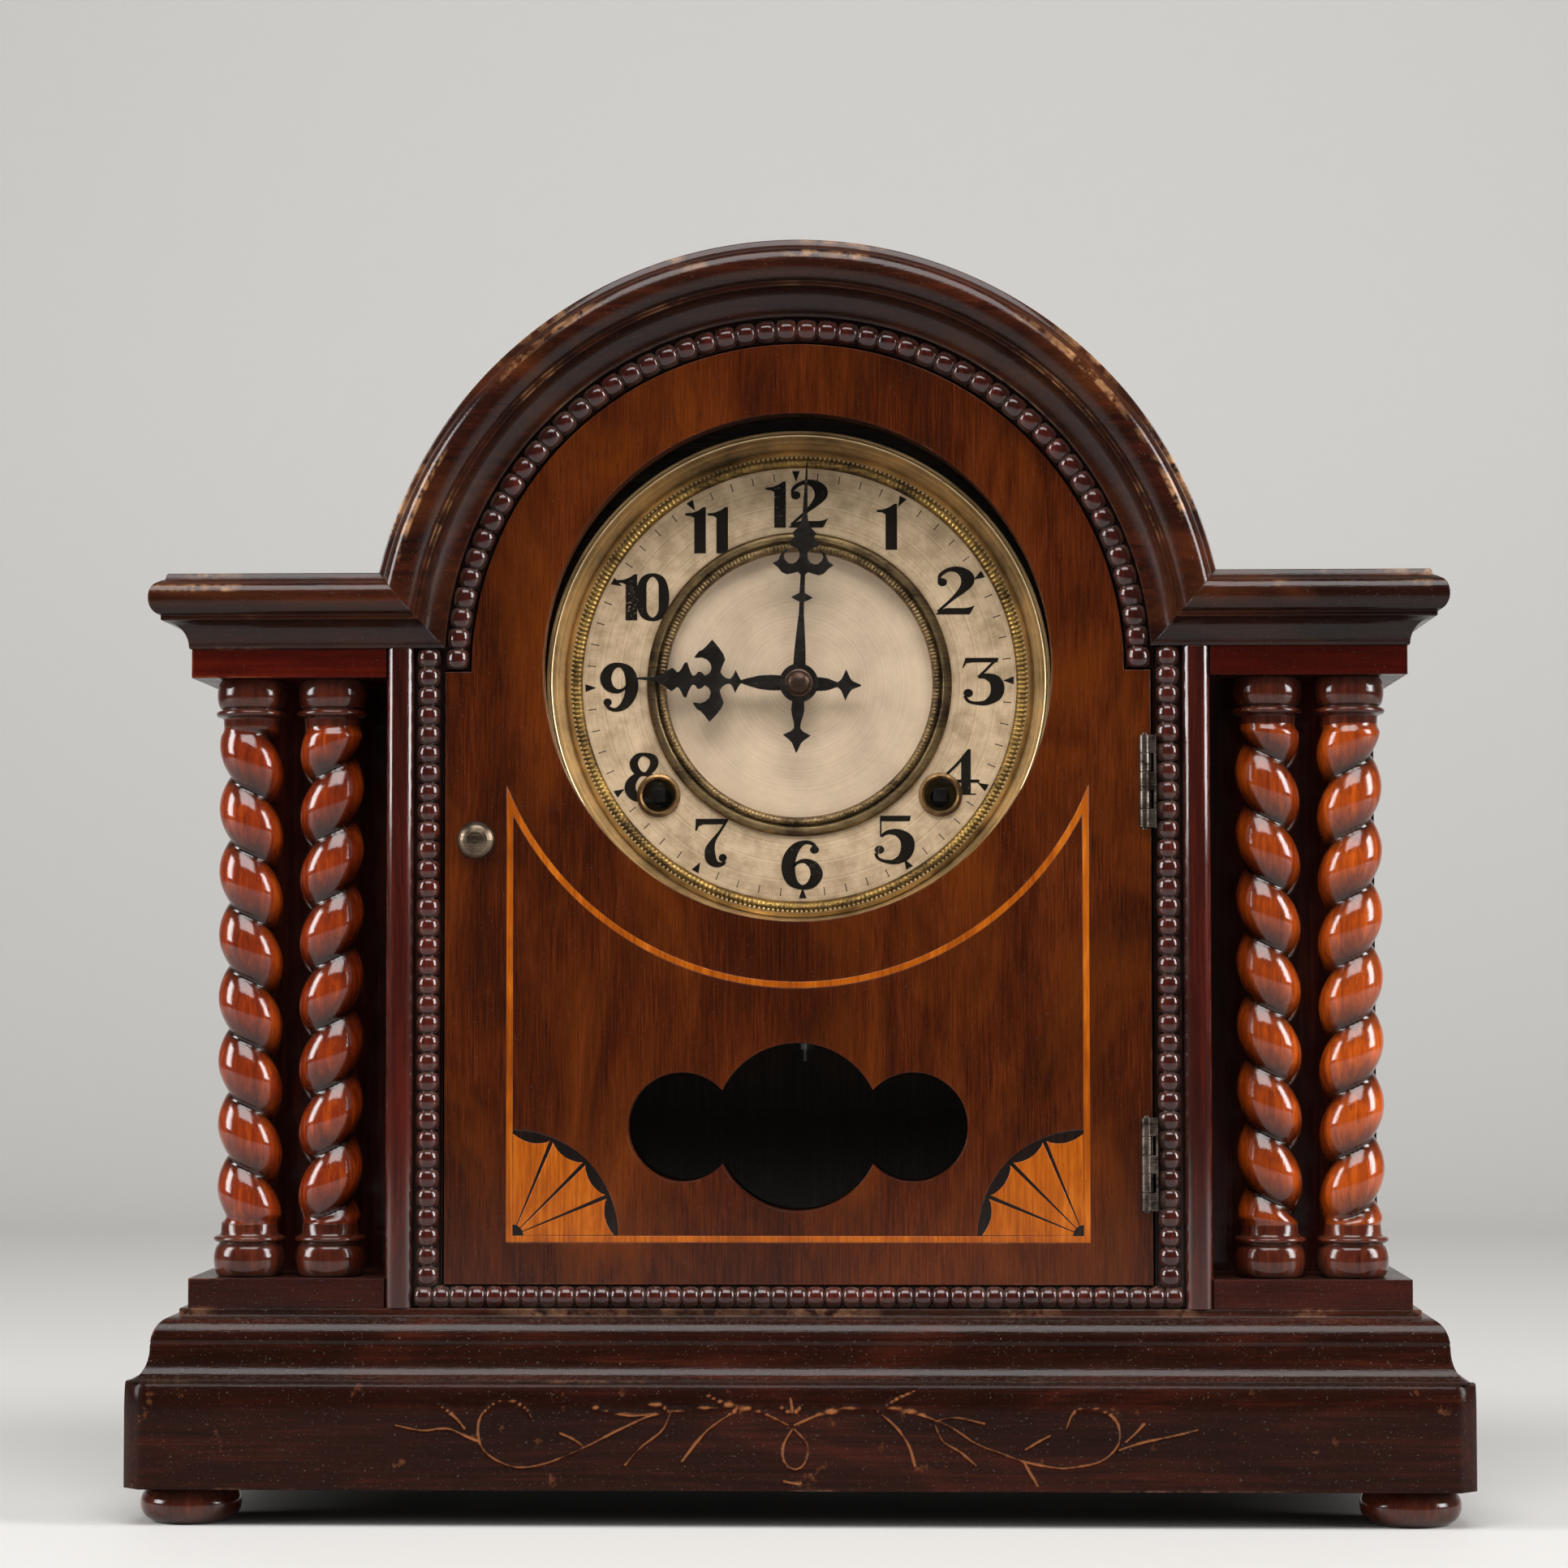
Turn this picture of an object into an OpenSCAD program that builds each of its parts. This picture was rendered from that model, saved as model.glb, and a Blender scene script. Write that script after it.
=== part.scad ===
// Arched-top wooden mantel clock: striking pendulum movement, hinged door, twist columns.
// Millimetres, +Z up, front faces -Y, origin on the floor under the middle of the base.

/* [Base] */
// How far the base box stands out beyond the wing blocks on each side
base_out = 17.6; // [15:0.2:24]
// Depth of the base box, the deepest part of the case
base_d = 165; // [160:1:190]
// Height of the base box above its feet
base_h = 32; // [26:1:44]
// Thickness of the base boards
base_board_t = 10; // [8:0.5:12]
// Chamfer on the upright front corners of the base
base_chamfer = 5.5; // [3:0.5:8]
// Height of the bun feet
foot_h = 11.4; // [9:0.2:16]
// Radius of the bun feet
foot_r = 15.5; // [12:0.5:18]
// Distance of each foot centre in from the base sides
foot_inset = 18.5; // [18.5:0.5:28]
// Height of the moulding between base box and columns
base_mould_h = 21.6; // [18:0.5:28]

/* [Case] */
// Half width of the central arched case
case_hw = 127; // [125:0.5:129]
// Height of the column shafts with their turned ends
column_h = 185; // [176:1:200]
// Thickness of the plinth blocks under the columns
plinth_h = 9; // [7:0.5:12]
// Thickness of the frieze blocks over the columns
frieze_h = 9; // [7:0.5:12]
// Width of each wing, the plinth and frieze blocks beside the central case
wing_w = 60.4; // [57:0.2:66]
// Distance of the block faces behind the base front
block_setback = 15.5; // [15:0.5:18]
// Width of the plain stile strips
stile_w = 8.5; // [8:0.1:9]
// Thickness of the case side boards
side_t = 8; // [6:0.5:9]
// Thickness of the front frame and the door
frame_t = 12; // [10:0.5:13]
// Thickness of the back board
back_t = 6; // [4:0.5:7]
// Thickness of the bent arch roof
roof_t = 5; // [3:0.5:6]
// Height and width of the cornice moulding
mould_w = 22.8; // [21:0.2:24]
// How far the cornice moulding stands out
mould_out = 11.7; // [10:0.1:13]
// Distance of the recessed wing panels behind the blocks
wing_recess = 38; // [32:1:46]
// Thickness of the wing panels
wing_panel_t = 6; // [4:0.5:8]
// Distance of the wing side panels in from the block sides
wing_side_inset = 6.4; // [4:0.2:8]

/* [Columns] */
// Radius of the twisted shafts
column_r = 10; // [9:0.1:10.6]
// Radius of the valley of the twist
column_valley_r = 6; // [5:0.1:8]
// Rise of the twist in one turn
column_pitch = 19.6; // [16:0.2:26]
// Distance between the two columns of a pair
column_gap = 25.2; // [24:0.2:27]
// Distance of the outer column centre in from the block side
column_inset = 16.8; // [15:0.2:18]
// Distance of the column centres behind the block face
column_setback = 13; // [12:0.5:18]

/* [Bead strips] */
// Width of the bead strips
strip_w = 7.6; // [7.2:0.1:8]
// Radius of the turned beads
bead_r = 3.3; // [2.8:0.1:3.5]
// Spacing of the beads on the uprights
bead_pitch = 6; // [5:0.1:8]
// Spacing of the beads round the arch
arch_bead_pitch = 6.4; // [6:0.1:8]
// Thickness of the backing of the bead strips
strip_t = 2; // [1.5:0.1:3]

/* [Door] */
// Gap between the door and its frame
door_gap = 0.8; // [0.6:0.1:1.2]
// Height of the dial opening centre above the arch springing line
opening_rise = 0.5; // [-2:0.1:2]
// Width of the inlaid line
stringing_w = 2; // [1:0.1:3]
// Depth of the inlays
inlay_t = 0.8; // [0.5:0.1:1.5]
// Distance of the inlaid line from the middle
stringing_x = 88.6; // [80:0.1:92]
// Radius of the quarter fans
fan_r = 32.5; // [26:0.5:36]
// Radius of the window's centre lobe
window_r = 25.8; // [22:0.1:28]
// Radius of the window's side lobes
window_side_r = 16.8; // [14:0.1:18]
// Distance of the side lobes from the middle
window_side_x = 35.5; // [32:0.1:38]
// Thickness of the glass panes
glass_t = 2; // [1.5:0.1:2.5]
// Length of each hinge
hinge_len = 28.5; // [25:0.5:36]
// Radius of the hinge knuckles
knuckle_r = 1.65; // [1.5:0.05:1.7]
// Radius of the hinge pins
hinge_pin_r = 0.8; // [0.6:0.05:0.9]
// Radius of the door knob
knob_r = 5.9; // [4.5:0.1:7]

/* [Dial and hands] */
// Distance of the dial centre below the arch springing line
dial_drop = 3.1; // [1:0.1:5]
// Radius of the silvered chapter ring
chapter_r = 70.2; // [68:0.1:72]
// Width of the outer bezel, from the chapter ring to the round dial opening of the door
bezel_w = 8.4; // [7:0.1:9]
// Radius of the inner bezel's middle line
inner_bezel_r = 45; // [43:0.1:47]
// Depth of the dial face behind the door face
dial_recess = 26; // [25:0.5:28]
// Distance of each winding arbor from the middle
arbor_x = 44.3; // [43:0.1:46]
// Distance of the winding arbors below the dial centre
arbor_drop = 34.9; // [34:0.1:36]
// Thickness of the hands
hand_t = 1; // [0.8:0.1:1.2]
// Angle of the minute hand past twelve
minute_angle = 2.2; // [0:0.1:5]
// Angle of the hour hand past twelve
hour_angle = 272; // [268:0.5:275]

/* [Movement] */
// Clear space between the movement plates
plate_gap = 30; // [28:0.5:34]
// Thickness of the movement plates
plate_t = 2; // [1.5:0.1:2.5]
// Radius of the arbors
arbor_r = 1.5; // [1.2:0.1:1.8]
// Radius of the pivots in the plates
pivot_r = 1; // [0.8:0.05:1.1]
// Radial running clearance of pivots, pipes and hinge pins
run_fit = 0.06; // [0.03:0.01:0.09]
// Length of the pendulum from its pivot to the bob centre
pendulum_len = 157; // [150:1:170]
// Radius of the pendulum bob
bob_r = 15.5; // [13:0.5:17]
// Radius of the gong coil
gong_r = 46; // [40:1:50]

/* [Hidden] */
$fn = 48;

// Colours
case_wood = [0.24, 0.09, 0.05];
block_wood = [0.42, 0.11, 0.06];
door_wood = [0.42, 0.19, 0.08];
twist_wood = [0.68, 0.28, 0.10];
inlay_wood = [0.83, 0.52, 0.16];
silvered = [0.78, 0.74, 0.64];
brass = [0.66, 0.52, 0.24];
steel = [0.45, 0.45, 0.47];
blackened = [0.08, 0.08, 0.09];
glass_tint = [0.75, 0.85, 0.85, 0.35];

// Overall half width of the wings and width of the base
wing_hw = case_hw + wing_w;
base_w = 2 * (wing_hw + base_out);

// Heights, from the floor up
base_top = foot_h + base_h;
deck_z = base_top + base_mould_h;
column_z = deck_z + plinth_h;
frieze_z = column_z + column_h;
cornice_z = frieze_z + frieze_h;
cornice_top = cornice_z + mould_w;
// The springing line of the arch lies a little below the cornice
spring_z = cornice_z - 6.5;
dial_z = spring_z - dial_drop;
opening_z = spring_z + opening_rise;
opening_r = chapter_r + bezel_w;

// Depths, from the front back
base_y = -base_d / 2;
block_y = base_y + block_setback;
frame_y = block_y + 5;
stile_y = block_y - 1;
door_y = frame_y - 4;
door_back_y = door_y + frame_t;
frame_back_y = frame_y + frame_t;
column_y = block_y + column_setback;
wing_y = block_y + wing_recess;
case_back_y = base_d / 2 - 4.5;
back_y = case_back_y - back_t;
dial_y = door_y + dial_recess;
dial_plate_y = dial_y + 3;
dial_plate_t = 1;
board_y = dial_plate_y + dial_plate_t;
board_t = 8;
plate_y = board_y + board_t + 10;
gap_y = plate_y + plate_t;
gap_back_y = gap_y + plate_gap;
plate_back_y = gap_back_y + plate_t;

// Widths of the central case
part_line = 0.7;
strip_out = case_hw - stile_w - part_line;
strip_in = strip_out - strip_w;
open_hw = strip_in - part_line;
arch_in_r = case_hw - 18;
arch_out_r = arch_in_r + mould_w;
open_arch_r = arch_in_r - strip_w;
door_hw = open_hw - door_gap;
door_arch_r = open_arch_r - door_gap;
open_z = deck_z + strip_w - 0.9;
door_z = open_z + 0.5;
roof_r = case_hw;
deck_inset = 19;

// Door details
stringing_z = door_z + 13.9;
stringing_arc_r = 97.6;
window_z = door_z + 48.1;
fan_x = stringing_x - stringing_w / 2;
fan_z = stringing_z + stringing_w / 2;
rebate = 2.7;
pane_y = door_back_y - 1 - glass_t;
knob_x = -(door_hw - 9.7);
knob_z = spring_z - 53;
latch_bore_r = 2.06;
finger_len = 14;
hinge_x = door_hw - 2;
hinge_y = door_y - knuckle_r - 0.1;
hinge_margin = 21;
hinge_low_z = [door_z + hinge_margin + 1.6, spring_z - hinge_margin - hinge_len];
leaf_t = 0.6;
leaf_depth = 10;

// Movement layout: each point is X, Z
centre = [0, dial_z];
time_great = [arbor_x, dial_z - arbor_drop];
strike_great = [-arbor_x, dial_z - arbor_drop];
// Modules and tooth counts of the trains
great_m = 1.2;
great_n = 60;
great_pinion_n = 10;
second_m = 0.9;
second_n = 48;
centre_pinion_n = 8;
centre_m = 0.8;
centre_n = 56;
third_m = 0.7;
third_n = 56;
train_pinion_n = 8;
minute_m = 0.75;
cannon_n = 12;
minute_n = 36;
hour_n = 40;
minute_pinion_n = 10;
// The hour wheel and its pinion share the centre distance of the cannon pinion and minute wheel
hour_m = minute_m * (cannon_n + minute_n) / (minute_pinion_n + hour_n);
function reach(m, a, b) = m * (a + b) / 2;
function polar(p, r, a) = [p[0] + r * cos(a), p[1] + r * sin(a)];
function heading(a, b) = atan2(b[1] - a[1], b[0] - a[0]);
// Point at distance ra from a and rb from b, on the right of the line from a to b
function meet(a, b, ra, rb) = let(d = norm(b - a), u = (b - a) / d,
  t = (ra * ra - rb * rb + d * d) / (2 * d), h = sqrt(ra * ra - t * t)) a + t * u + h * [u[1], -u[0]];
second = meet(time_great, centre, reach(great_m, great_n, great_pinion_n),
  reach(second_m, second_n, centre_pinion_n));
third = polar(centre, reach(centre_m, centre_n, train_pinion_n), 120);
escape_drop = reach(third_m, third_n, train_pinion_n);
escape = [0, third[1] + sqrt(escape_drop * escape_drop - third[0] * third[0])];
escape_r = 14;
centre_r = 2.5;
winding_r = 3;
pivot = [0, escape[1] + 19.5];
minute_post = [0, dial_z - reach(minute_m, cannon_n, minute_n)];
strike_second = polar(strike_great, reach(great_m, great_n, great_pinion_n), 95);
fly_post = polar(strike_second, reach(second_m, second_n, train_pinion_n), 60);
hammer_post = [-56, dial_z + 3];
plate_hw = 67;
plate_bottom = dial_z - 74.4;
shoulder_z = dial_z + 42;
plate_top_hw = 14;
plate_top = pivot[1] + plate_top_hw + 7;
pillar_r = 2.6;
pillar_spots = [[-plate_hw + 4.5, plate_bottom + 3.6], [plate_hw - 4.5, plate_bottom + 3.6],
  [-plate_hw + 14, shoulder_z - 8], [plate_hw - 14, shoulder_z - 8], [0, plate_top - 6]];
// Planes of the wheels, measured back from the front plate
great_y = gap_y + 3;
ratchet_y = great_y + 2.2;
ratchet_r = 9;
second_y = gap_y + 24;
centre_y = gap_y + 12;
third_y = gap_y + 19;
escape_y = gap_y + 7;
wheel_t = 1.2;
pendulum_y = plate_back_y + 6.7;
bob_z = pivot[1] - pendulum_len;
gong_y = pendulum_y + 21;
gong_z = dial_z - 43.4;
hand_y = dial_y - 3.6;
minute_hand_y = hand_y - 2.4;

// Sketches and solids used by many pieces. A sketch lies in X and Z and is pushed from y0 to y1.
module push_y(y0, y1) {
  translate([0, y1, 0]) rotate([90, 0, 0]) linear_extrude(y1 - y0) children();
}
module push_x(x0, x1) {
  translate([x0, 0, 0]) rotate([90, 0, 90]) linear_extrude(x1 - x0) children();
}
module rod_y(p, r, y0, y1) {
  translate([p[0], y1, p[1]]) rotate([90, 0, 0]) cylinder(r = r, h = y1 - y0);
}
// A turned form about an axis along Y through p: its sketch is radius and depth in front (-Y)
module turned_y(p) {
  translate([p[0], 0, p[1]]) rotate([90, 0, 0]) rotate_extrude($fn = 96) children();
}
module box_at(low, high) {
  translate(low) cube(high - low);
}
module both_sides() {
  children();
  mirror([1, 0, 0]) children();
}
function arc_points(c, rx, ry, a0, a1, n) =
  [for (i = [0:n]) let(a = a0 + (a1 - a0) * i / n) [c[0] + rx * cos(a), c[1] + ry * sin(a)]];
// Closes a half outline, points given on the right, with its own mirror image
function mirrored(half) = concat(half, [for (i = [len(half) - 1:-1:0]) [-half[i][0], half[i][1]]]);

// Cornice section: how far out from the block face, and height over its lower edge
function cornice_section(back) = concat([[-back, 0]],
  [for (p = arc_points([mould_out - 3.9, 0.4], -(mould_out - 4.7), mould_w * 0.34, 0, 90, 6)) p],
  [[mould_out - 3.4, mould_w * 0.36], [mould_out - 3.4, mould_w * 0.44]],
  arc_points([mould_out - 3.3, mould_w * 0.66], 3.3, mould_w * 0.22, -75, 75, 8),
  [[mould_out - 3.5, mould_w * 0.9], [mould_out - 4.6, mould_w * 0.92], [mould_out - 5.2, mould_w],
  [-back, mould_w]]);
// Base moulding section: how far out from its own back, and height over its lower edge
function base_section(back) = concat([[0, 0], [back - 2.2, 0]],
  arc_points([back - 2.2, base_mould_h * 0.5], -5.2, base_mould_h * 0.46, -90, 0, 5),
  arc_points([back - 13.6, base_mould_h * 0.5], 6.2, base_mould_h * 0.39, 10, 90, 6),
  [[back - 15, base_mould_h * 0.9], [back - 15, base_mould_h], [0, base_mould_h]]);
// One turned bead: a barrel with narrow ends
function bead_section(r, pitch, n) = [for (i = [0:n]) let(t = -1 + 2 * i / n)
  [r * (0.5 + 0.5 * sqrt(1 - t * t * 0.98)), t * pitch * 0.46]];

// Base
module base_front_board() {
  color(case_wood) intersection() {
    push_x(-base_w / 2, base_w / 2) polygon(concat([[base_y, foot_h],
      [base_y + base_board_t, foot_h], [base_y + base_board_t, base_top]],
      arc_points([base_y + 2.2, base_top - 9], -2.2, 9, 90, 0, 5)));
    translate([0, 0, foot_h]) linear_extrude(base_h) polygon([
      [-base_w / 2 + base_chamfer, base_y], [base_w / 2 - base_chamfer, base_y],
      [base_w / 2, base_y + base_chamfer], [base_w / 2, base_y + base_board_t],
      [-base_w / 2, base_y + base_board_t], [-base_w / 2, base_y + base_chamfer]]);
  }
}
module base_side_boards() {
  color(case_wood) {
    both_sides() push_y(base_y + base_board_t, base_d / 2) polygon(concat(
      [[base_w / 2, foot_h], [base_w / 2 - base_board_t, foot_h],
      [base_w / 2 - base_board_t, base_top]],
      arc_points([base_w / 2 - 2.2, base_top - 9], 2.2, 9, 90, 0, 5)));
    box_at([-base_w / 2 + base_board_t / 2, base_d / 2 - base_board_t, foot_h],
      [base_w / 2 - base_board_t / 2, base_d / 2, base_top]);
  }
}
module base_floor() {
  color(case_wood) box_at([-base_w / 2 + base_board_t, base_y + base_board_t, foot_h],
    [base_w / 2 - base_board_t, base_d / 2 - base_board_t, foot_h + 8]);
}
module base_deck() {
  color(case_wood) box_at([-base_w / 2 + deck_inset, base_y + deck_inset, base_top],
    [base_w / 2 - deck_inset, base_d / 2, deck_z]);
}
module base_moulding() {
  half = base_section(base_w / 2);
  color(case_wood) difference() {
    intersection() {
      push_x(-base_w / 2, base_w / 2) translate([base_d / 2, base_top])
        mirror([1, 0]) polygon(base_section(base_d));
      push_y(base_y, base_d / 2) translate([0, base_top])
        polygon(mirrored([for (i = [1:len(half) - 2]) half[i]]));
    }
    box_at([-base_w / 2 + deck_inset, base_y + deck_inset, base_top - 1],
      [base_w / 2 - deck_inset, base_d / 2 + 1, deck_z + 1]);
  }
}
module feet() {
  foot_y = -base_y - foot_inset;
  color(twist_wood) for (x = [-1, 1]) for (y = [-foot_y, foot_y])
    translate([x * (base_w / 2 - foot_inset), y, 0]) rotate_extrude() polygon(concat([[0, 0]],
      arc_points([foot_r - foot_h / 2, foot_h * 0.5], foot_h / 2, foot_h * 0.5, -90, 60, 8),
      [[foot_r - 4, foot_h], [0, foot_h]]));
}

// Wings beside the central case
module plinth_blocks() {
  color(block_wood) both_sides() box_at([case_hw, block_y, deck_z], [wing_hw, back_y, column_z]);
}
module frieze_blocks() {
  color(block_wood) both_sides() box_at([case_hw, block_y, frieze_z], [wing_hw, back_y, cornice_z]);
}
module wing_panels() {
  side = wing_hw - wing_side_inset;
  color(case_wood) both_sides() {
    box_at([case_hw, wing_y, column_z], [side - wing_panel_t, wing_y + wing_panel_t, frieze_z]);
    box_at([side - wing_panel_t, wing_y, column_z], [side, back_y, frieze_z]);
  }
}
// Twisted shaft section: one deep valley at angle 0 and a round lobe opposite
function twist_section(n) = [for (i = [0:n - 1]) let(a = 360 * i / n)
  (column_valley_r + (column_r - column_valley_r) * pow(abs(sin(a / 2)), 0.75))
  * [cos(a), sin(a)]];
shaft_low = 16;
shaft_high = column_h - 14.5;
twist_sides = 16;
twist_steps = 12;
// side: -1 left, 1 right; slot: 0 outer, 1 inner; hand: 1 rises to the right seen from the front;
// lobe_z: height over the plinth block at which the lobe faces right
module column(side, slot, hand, lobe_z) {
  turns = (shaft_high - shaft_low) / column_pitch;
  color(twist_wood)
  translate([side * (wing_hw - column_inset - slot * column_gap), column_y, column_z]) {
    translate([0, 0, shaft_low])
      rotate(-hand * 360 * (lobe_z - shaft_low) / column_pitch - 180)
      linear_extrude(height = shaft_high - shaft_low, twist = -hand * 360 * turns,
        slices = round(turns * twist_steps), $fn = twist_sides) polygon(twist_section(twist_sides));
    rotate_extrude() polygon(concat([[0, 0]],
      arc_points([9.2, 5], 1.8, 5, -80, 75, 7),
      arc_points([9.4, 11.6], 1.7, 1.1, -90, 90, 4),
      [[8.9, 13.4], [8.7, shaft_low + 0.5], [0, shaft_low + 0.5]]));
    rotate_extrude() polygon(concat([[0, shaft_high - 0.5], [8.7, shaft_high - 0.5],
      [8.9, column_h - 12.2]],
      arc_points([9.6, column_h - 10.6], 1.5, 1.1, -90, 90, 4),
      arc_points([9.1, column_h - 4.6], 1.7, 4.6, -70, 75, 7), [[0, column_h]]));
  }
}
module column_left_outer() { column(-1, 0, -1, column_h - 29.5); }
module column_left_inner() { column(-1, 1, 1, column_h - 33.5); }
module column_right_inner() { column(1, 1, -1, column_h - 39.1); }
module column_right_outer() { column(1, 0, 1, column_h - 33.5); }

// Cornice. The mitre line runs from the lower to the upper crossing of arch and straight mouldings.
mitre_low = sqrt(arch_in_r * arch_in_r - pow(cornice_z - spring_z, 2));
mitre_high = sqrt(arch_out_r * arch_out_r - pow(cornice_top - spring_z, 2));
module mitre_outside() {
  past = 1;
  push_y(base_y, case_back_y) polygon([[mitre_low, cornice_z], [mitre_high, cornice_top],
    [mitre_high, cornice_top + past], [wing_hw + 40, cornice_top + past],
    [wing_hw + 40, cornice_z - past], [mitre_low, cornice_z - past]]);
}
module wing_cornices() {
  color(case_wood) both_sides() difference() {
    intersection() {
      push_x(0, wing_hw + mould_out) translate([block_y, cornice_z]) mirror([1, 0])
        polygon(cornice_section(case_back_y - block_y));
      push_y(base_y, case_back_y) translate([wing_hw, cornice_z])
        polygon(cornice_section(wing_hw));
      mitre_outside();
    }
    box_at([0, frame_y, cornice_z - 1], [case_hw, case_back_y + 1, spring_z]);
    rod_y([0, spring_z], roof_r, frame_y, case_back_y + 1);
    box_at([0, frame_y, cornice_z - 1], [mitre_low + 8, case_back_y + 1, cornice_top + 1]);
  }
}
module arch_cornice() {
  color(case_wood) difference() {
    translate([0, 0, spring_z]) rotate([90, 0, 0]) rotate_extrude(angle = 180, $fn = 96)
      polygon([for (p = cornice_section(frame_y - block_y)) [arch_in_r + p[1], p[0] - block_y]]);
    both_sides() mitre_outside();
    box_at([-case_hw - 10, base_y, spring_z - 1], [case_hw + 10, 0, cornice_z]);
  }
}

// Central case
module arched(hw, r, z) {
  translate([-hw, z]) square([2 * hw, spring_z - z]);
  intersection() {
    translate([0, spring_z]) circle(r = r, $fn = 96);
    translate([-hw, spring_z - 1]) square([2 * hw, r + 2]);
  }
}
module front_frame() {
  color(case_wood) difference() {
    push_y(frame_y, frame_back_y) difference() {
      arched(case_hw, roof_r, deck_z);
      arched(open_hw, open_arch_r, open_z);
    }
    for (z = hinge_low_z) box_at([open_hw - 1, frame_y - 1, z],
      [open_hw + leaf_t, hinge_y + leaf_depth + 1.5, z + hinge_len]);
  }
}
module case_sides() {
  color(case_wood) both_sides()
    box_at([case_hw - side_t, frame_back_y, deck_z], [case_hw, back_y, spring_z]);
}
module arch_roof() {
  color(case_wood) translate([0, back_y, spring_z]) rotate([90, 0, 0])
    rotate_extrude(angle = 180, $fn = 96)
    translate([roof_r - roof_t, 0]) square([roof_t, back_y - frame_back_y]);
}
module back_board() {
  side = wing_hw - wing_side_inset;
  color(case_wood) push_y(back_y, case_back_y) {
    translate([-side, deck_z]) square([2 * side, cornice_z - deck_z]);
    intersection() {
      translate([0, spring_z]) circle(r = roof_r, $fn = 96);
      translate([-roof_r, cornice_z - 1]) square([2 * roof_r, roof_r]);
    }
  }
}
module inner_boards() {
  inside = case_hw - side_t;
  color(case_wood) {
    difference() {
      push_y(board_y, board_y + board_t) intersection() {
        arched(inside, roof_r - roof_t, plate_bottom - 4);
        translate([-inside, plate_bottom - 4]) square([2 * inside, 2 * inside]);
      }
      rod_y(centre, 8, board_y - 1, board_y + board_t + 1);
      for (p = [time_great, strike_great]) rod_y(p, 7, board_y - 1, board_y + board_t + 1);
    }
    box_at([-inside, board_y + board_t, plate_bottom - 8], [inside, plate_back_y + 1, plate_bottom]);
  }
}
module stile_strips() {
  round_r = 2;
  color(case_wood) both_sides() translate([0, 0, deck_z]) linear_extrude(cornice_z - deck_z) {
    translate([case_hw - stile_w, stile_y + round_r]) square([stile_w, frame_y - stile_y - round_r]);
    translate([case_hw - stile_w + round_r, stile_y]) square([stile_w - 2 * round_r, round_r + 1]);
    for (x = [case_hw - stile_w + round_r, case_hw - round_r])
      translate([x, stile_y + round_r]) circle(r = round_r);
  }
}
// A straight row of turned beads along Z, on a flat backing
module bead_row(length, count) {
  pitch = length / count;
  rotate_extrude(angle = 180, start = 180) polygon(concat([[0, 0]],
    [for (i = [0:count - 1]) for (p = bead_section(bead_r, pitch, 4)) p + [0, (i + 0.5) * pitch]],
    [[0, length]]));
}
module bead_strips() {
  strip_y = frame_y - strip_t;
  upright_z = open_z;
  color(case_wood) {
    both_sides() {
      box_at([strip_in, strip_y, upright_z], [strip_out, frame_y, cornice_z]);
      translate([(strip_in + strip_out) / 2, strip_y, upright_z])
        bead_row(cornice_z - upright_z, round((cornice_z - upright_z) / bead_pitch));
    }
    box_at([-strip_out, strip_y, deck_z], [strip_out, frame_y, open_z]);
    translate([-strip_out, strip_y, (deck_z + open_z) / 2]) rotate([0, 90, 0])
      bead_row(2 * strip_out, round(2 * strip_out / (bead_pitch - 0.5)));
  }
}
module arch_bead_strip() {
  strip_y = frame_y - strip_t;
  middle = (open_arch_r + arch_in_r) / 2;
  count = round(PI * middle / arch_bead_pitch);
  color(case_wood) difference() {
    union() {
      translate([0, frame_y, spring_z]) rotate([90, 0, 0]) rotate_extrude(angle = 180, $fn = 96)
        translate([open_arch_r, 0]) square([strip_w, strip_t]);
      for (i = [0:count - 1]) translate([0, strip_y, spring_z])
        rotate([0, -180 * (i + 0.5) / count, 0]) translate([middle, 0, 0])
        sphere(r = min(bead_r, arch_bead_pitch / 2 - 0.1), $fn = 24);
    }
    box_at([-arch_in_r, frame_y, spring_z], [arch_in_r, frame_y + bead_r, spring_z + arch_in_r]);
  }
}

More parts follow.
